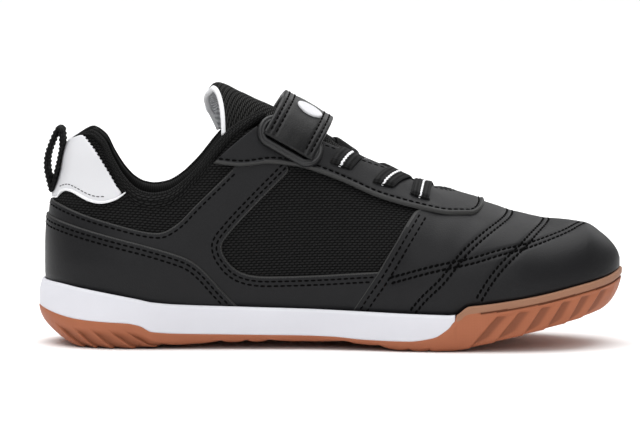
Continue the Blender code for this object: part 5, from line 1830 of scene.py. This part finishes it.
LACE_HALF, LACE_THICK = 3.4, 1.3
SLOT_LIFT, SLOT_DEPTH = 3.1, 3.6  # height of a lace over the upper beside its slot, and how far it goes down
LACE_RUNS = (  # name, both ends as x and y, height in the middle and at the end, finish, solid
    ("lace_front", (34.4, -21.4), (38.0, 20.6), 0.4, 3.1, LACE, ["lace_bar_front"]),
    ("lace_lower_over", (19.8, -20.8), (41.0, 10.6), 0.2, -2.0, LACE, ["lace_cross_lower"]),
    ("lace_lower_under", (19.2, 19.4), (40.0, -9.6), -1.5, -1.6, WEBBING, []),
    ("lace_upper_over", (3.0, -19.2), (25.6, 12.6), 0.3, -2.0, LACE, ["lace_cross_upper"]),
    ("lace_upper_under", (2.6, 18.0), (24.6, -11.6), -1.2, -1.6, WEBBING, []),
)


def build_lace(name, first, last, middle, end, finish, stands_for):
    """A band that comes up through a slot, lies on the tongue, and ends over or under the far eyestay."""
    t = np.linspace(0, 1, 90)
    x, y = (np.interp(t, [0, 1], [first[i], last[i]]) for i in (0, 1))
    path = np.column_stack([x, y, lace_height(x, y)])
    sink = SLOT_DEPTH * (1 - np.sqrt(np.clip(t / 0.035, 0, 1)) + step(t, 0.93, 1) * (end > 0))
    way = unit(np.array([last[0] - first[0], last[1] - first[1], 0.0]))
    side = np.array([1.0, 0.0, 0.0]) / abs(way[1])
    across = np.linspace(-1, 1, 17)
    place = path[:, None] + across[None, :, None] * side * LACE_HALF
    place[..., 2] = lace_height(place[..., 0], place[..., 1])
    normal = unit(np.cross(np.gradient(place, axis=1), np.gradient(place, axis=0)))
    normal *= np.where(normal[..., 2:] < 0, -1, 1)
    half = THROAT_HALF.half(place[..., 0])
    side_y = place[..., 1] * np.sign(first[1])
    lift = middle - sink[:, None]
    lift = lift + (SLOT_LIFT - middle) * step(side_y, half - 3.5, half + 2.5)
    lift = lift + (end - middle) * step(-side_y, half - 12, half - 3)
    round_edge = LACE_THICK / 2 * np.sqrt(1 - across**6)
    flat = pattern(run_of(path)[:, None], across * LACE_HALF)
    faces = [grid_faces(*lift.shape)]
    points, blocks, flat = sheet(place, normal, faces, lift + round_edge, lift - round_edge, flat)[:3]
    add_piece(name, points, blocks, [finish], "black_webbing", stands_for, flat)
    return place[2, 8], unit(place[2, 16] - place[2, 0]), normal[2, 8]


slots = [build_lace(*run) for run in LACE_RUNS]
mouth, wide_way, up_way = (np.array(column) for column in zip(*slots))
# Painted shadow: dark spindles at the slots' mouths stand in for the shade inside the punched slots.
points, faces = capsules(mouth + up_way * 2.4, wide_way, up_way, 8.4, 1.6, 0.5)
add_piece("painted_slot_shadows", points, [faces], [SLOT_DARK], "black_leather")


# %% [markdown]
# ## Pull loop
# The loop is webbing, folded and sewn in behind the heel tab. It is a flat section carried round a closed
# path. Every second pair of points is a little wider, which gives the woven edge its teeth.


# %% Pull loop
LOOP = [(-110, 60.4), (-111, 64.5), (-111.9, 69.5), (-111.5, 74.5), (-109.6, 80), (-107.6, 84.2)]
LOOP += [(-106.4, 84.6), (-105.9, 81), (-106, 76.6), (-107.2, 70.6), (-108.6, 65), (-110, 60.4)]
LOOP_HALF, LOOP_STEP = 5.5, 0.45  # half of the webbing's width, mm between points of the path


def build_loop():
    """Webbing 11 mm wide carried round a closed path in the middle of the shoe."""
    line = curve(LOOP, LOOP_STEP)[:-1] + [0.4, 0]
    along = unit(np.roll(line, -1, 0) - np.roll(line, 1, 0))
    side = np.column_stack([-along[:, 1], 0 * along[:, 0], along[:, 0]])
    path = np.column_stack([line[:, 0], 0 * line[:, 0], line[:, 1]])
    teeth = np.where(np.arange(len(line)) // 2 % 2 == 0, 1.0, -1.0)[:, None]
    y_way = np.array([[0.13, 1.0, 0]]) * (LOOP_HALF + 0.25 * teeth)
    side = side * (1 + 0.16 * teeth)
    across = np.linspace(-1, 1, 13)
    flat_top = np.column_stack([across, np.sqrt(1 - across**8) * 0.85 + 0.05])
    section = np.vstack([flat_top, flat_top[::-1] * [1, -1]])
    points, blocks = tube(path, y_way, side, section, True)
    run = np.arange(len(line)) * LOOP_STEP
    flat = pattern(section[:, 0] * LOOP_HALF, run[:, None])
    add_piece("heel_loop", points, blocks, [WEBBING], "black_webbing", ["pull_loop"], flat)


build_loop()
